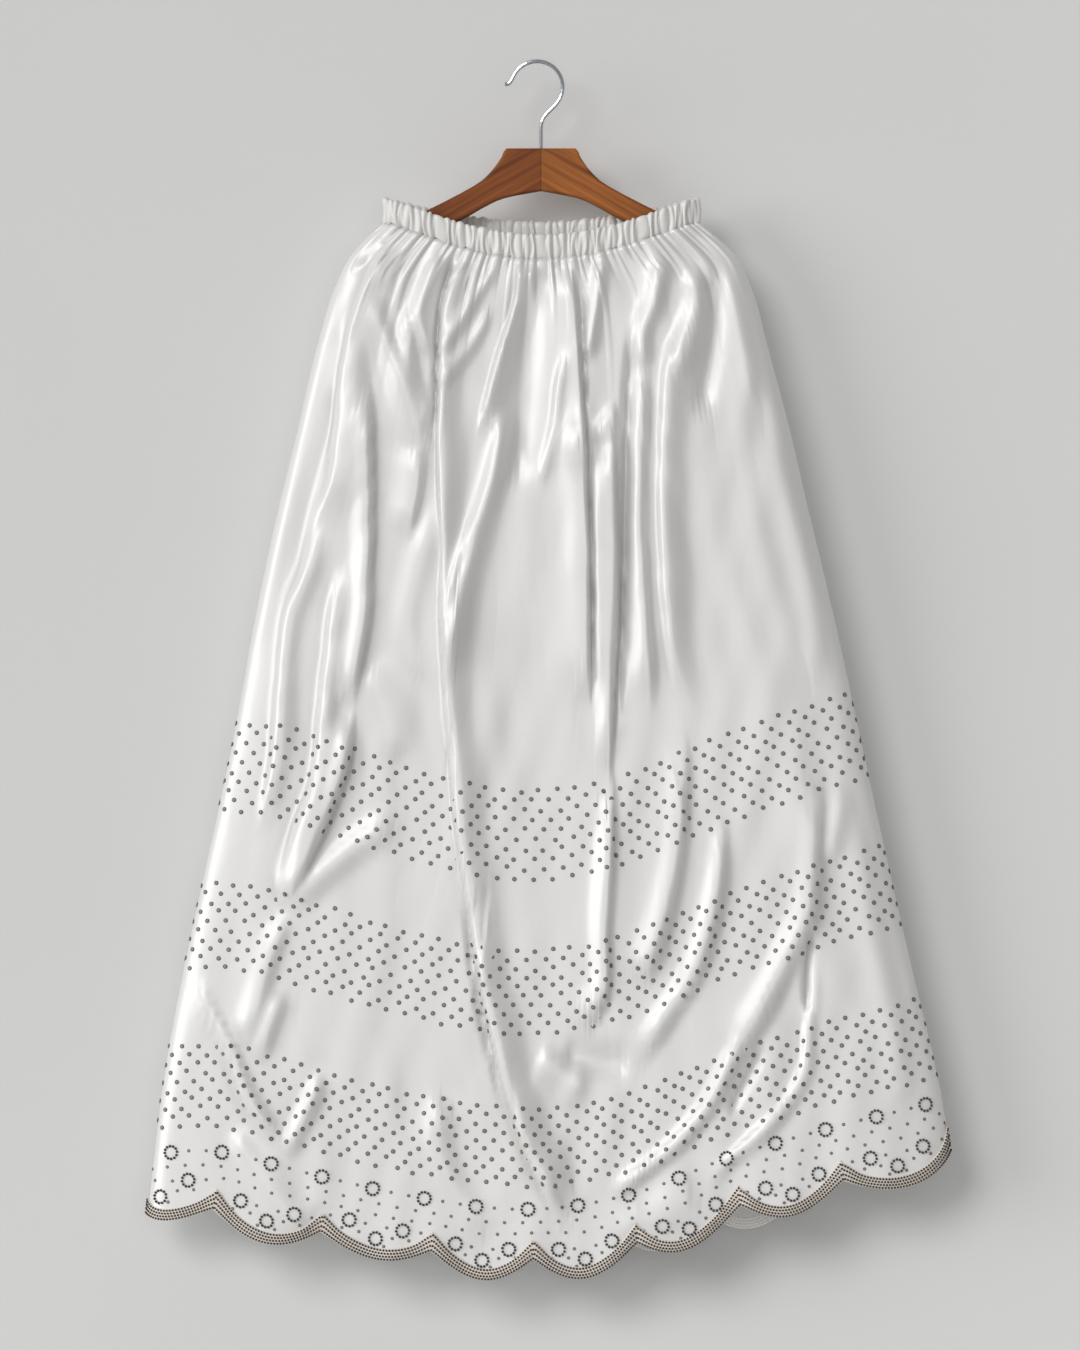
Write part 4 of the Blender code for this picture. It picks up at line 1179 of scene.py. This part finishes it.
class SKIRT_OT_hanger(bpy.types.Operator):
    """Finish the wooden hanger and its steel hook"""

    bl_idname = "skirt.hanger"
    bl_label = "Hanger finish"

    def execute(self, context):
        colours = context.scene.skirt_colours
        steel = dotted("bright_steel", colours.steel_dark, colours.steel_light,
                       roughness=0.2, metallic=1.0, scale=300.0)
        for name, material in (("hanger_wood", hanger_wood(colours)), ("hanger_hook", steel)):
            for slot in bpy.data.objects[name].material_slots:
                slot.material = material
        return {"FINISHED"}


class SKIRT_OT_stage(bpy.types.Operator):
    """Set up the pale backdrop, the soft lights and the camera"""

    bl_idname = "skirt.stage"
    bl_label = "Backdrop, lights and camera"

    def execute(self, context):
        settings = context.scene.skirt
        colours = context.scene.skirt_colours
        profile = [(PAPER_BACK, PAPER_TOP), (PAPER_BACK, PAPER_BEND_START)]
        for turn in np.linspace(0.0, math.pi / 2, 9)[1:]:
            y = PAPER_BACK - PAPER_BEND * (1 - math.cos(turn))
            profile.append((y, PAPER_BEND_START - PAPER_BEND * math.sin(turn)))
        profile.append((PAPER_FRONT, PAPER_BEND_START - PAPER_BEND))
        points = [(x, y, z) for y, z in profile for x in (-PAPER_HALF_WIDTH, PAPER_HALF_WIDTH)]
        faces = grid_faces(len(profile), 2, flip=True)
        paper = add_object("backdrop", points, faces, [backdrop(colours)])
        strengths = (settings.key_strength, settings.side_strength,
                     settings.fill_strength, settings.rear_strength)
        for (name, spread, place), strength in zip(LIGHTS, strengths):
            data = bpy.data.lights.new(name, "SUN")
            data.energy = strength
            data.angle = math.radians(spread)
            lamp = bpy.data.objects.new(name, data)
            lamp.location = place
            lamp.rotation_euler = Vector(place).to_track_quat("Z", "Y").to_euler()
            context.scene.collection.objects.link(lamp)
        world = bpy.data.worlds.new("soft_room")
        world.use_nodes = True
        world.node_tree.nodes["Background"].inputs["Color"].default_value = ROOM_COLOUR
        world.node_tree.nodes["Background"].inputs["Strength"].default_value = settings.room_strength
        context.scene.world = world
        camera_data = bpy.data.cameras.new("camera")
        camera_data.lens = CAMERA_LENS
        camera = bpy.data.objects.new("camera", camera_data)
        camera.location = CAMERA_PLACE
        camera.rotation_euler = (math.pi / 2, 0.0, 0.0)
        context.scene.collection.objects.link(camera)
        context.scene.camera = camera
        context.scene.view_settings.view_transform = "Standard"
        return {"FINISHED"}


class SKIRT_PT_panel(bpy.types.Panel):
    """Sizes, colours and buttons for the skirt"""

    bl_idname = "SKIRT_PT_panel"
    bl_label = "Gathered skirt"
    bl_space_type = "VIEW_3D"
    bl_region_type = "UI"
    bl_category = "Skirt"

    def draw(self, context):
        scene = context.scene
        for group, settings in ((SkirtSettings, scene.skirt), (SkirtColours, scene.skirt_colours)):
            for name in group.__annotations__:
                self.layout.prop(settings, name)
        for step in STEPS:
            self.layout.operator(step.bl_idname)


STEPS = (
    SKIRT_OT_panels,
    SKIRT_OT_casing,
    SKIRT_OT_hems,
    SKIRT_OT_studs,
    SKIRT_OT_rings,
    SKIRT_OT_hanger,
    SKIRT_OT_stage,
)
CLASSES = (SkirtSettings, SkirtColours, *STEPS, SKIRT_PT_panel)


def register():
    """Add the settings, the operators and the panel."""
    for item in CLASSES:
        bpy.utils.register_class(item)
    bpy.types.Scene.skirt = bpy.props.PointerProperty(type=SkirtSettings)
    bpy.types.Scene.skirt_colours = bpy.props.PointerProperty(type=SkirtColours)


def unregister():
    """Take the settings, the operators and the panel away again."""
    del bpy.types.Scene.skirt_colours
    del bpy.types.Scene.skirt
    for item in reversed(CLASSES):
        bpy.utils.unregister_class(item)


def main():
    """Build everything."""
    register()
    bpy.ops.skirt.panels()
    bpy.ops.skirt.casing()
    bpy.ops.skirt.hems()
    bpy.ops.skirt.studs()
    bpy.ops.skirt.rings()
    bpy.ops.skirt.hanger()
    bpy.ops.skirt.stage()


if __name__ == "__main__":
    main()
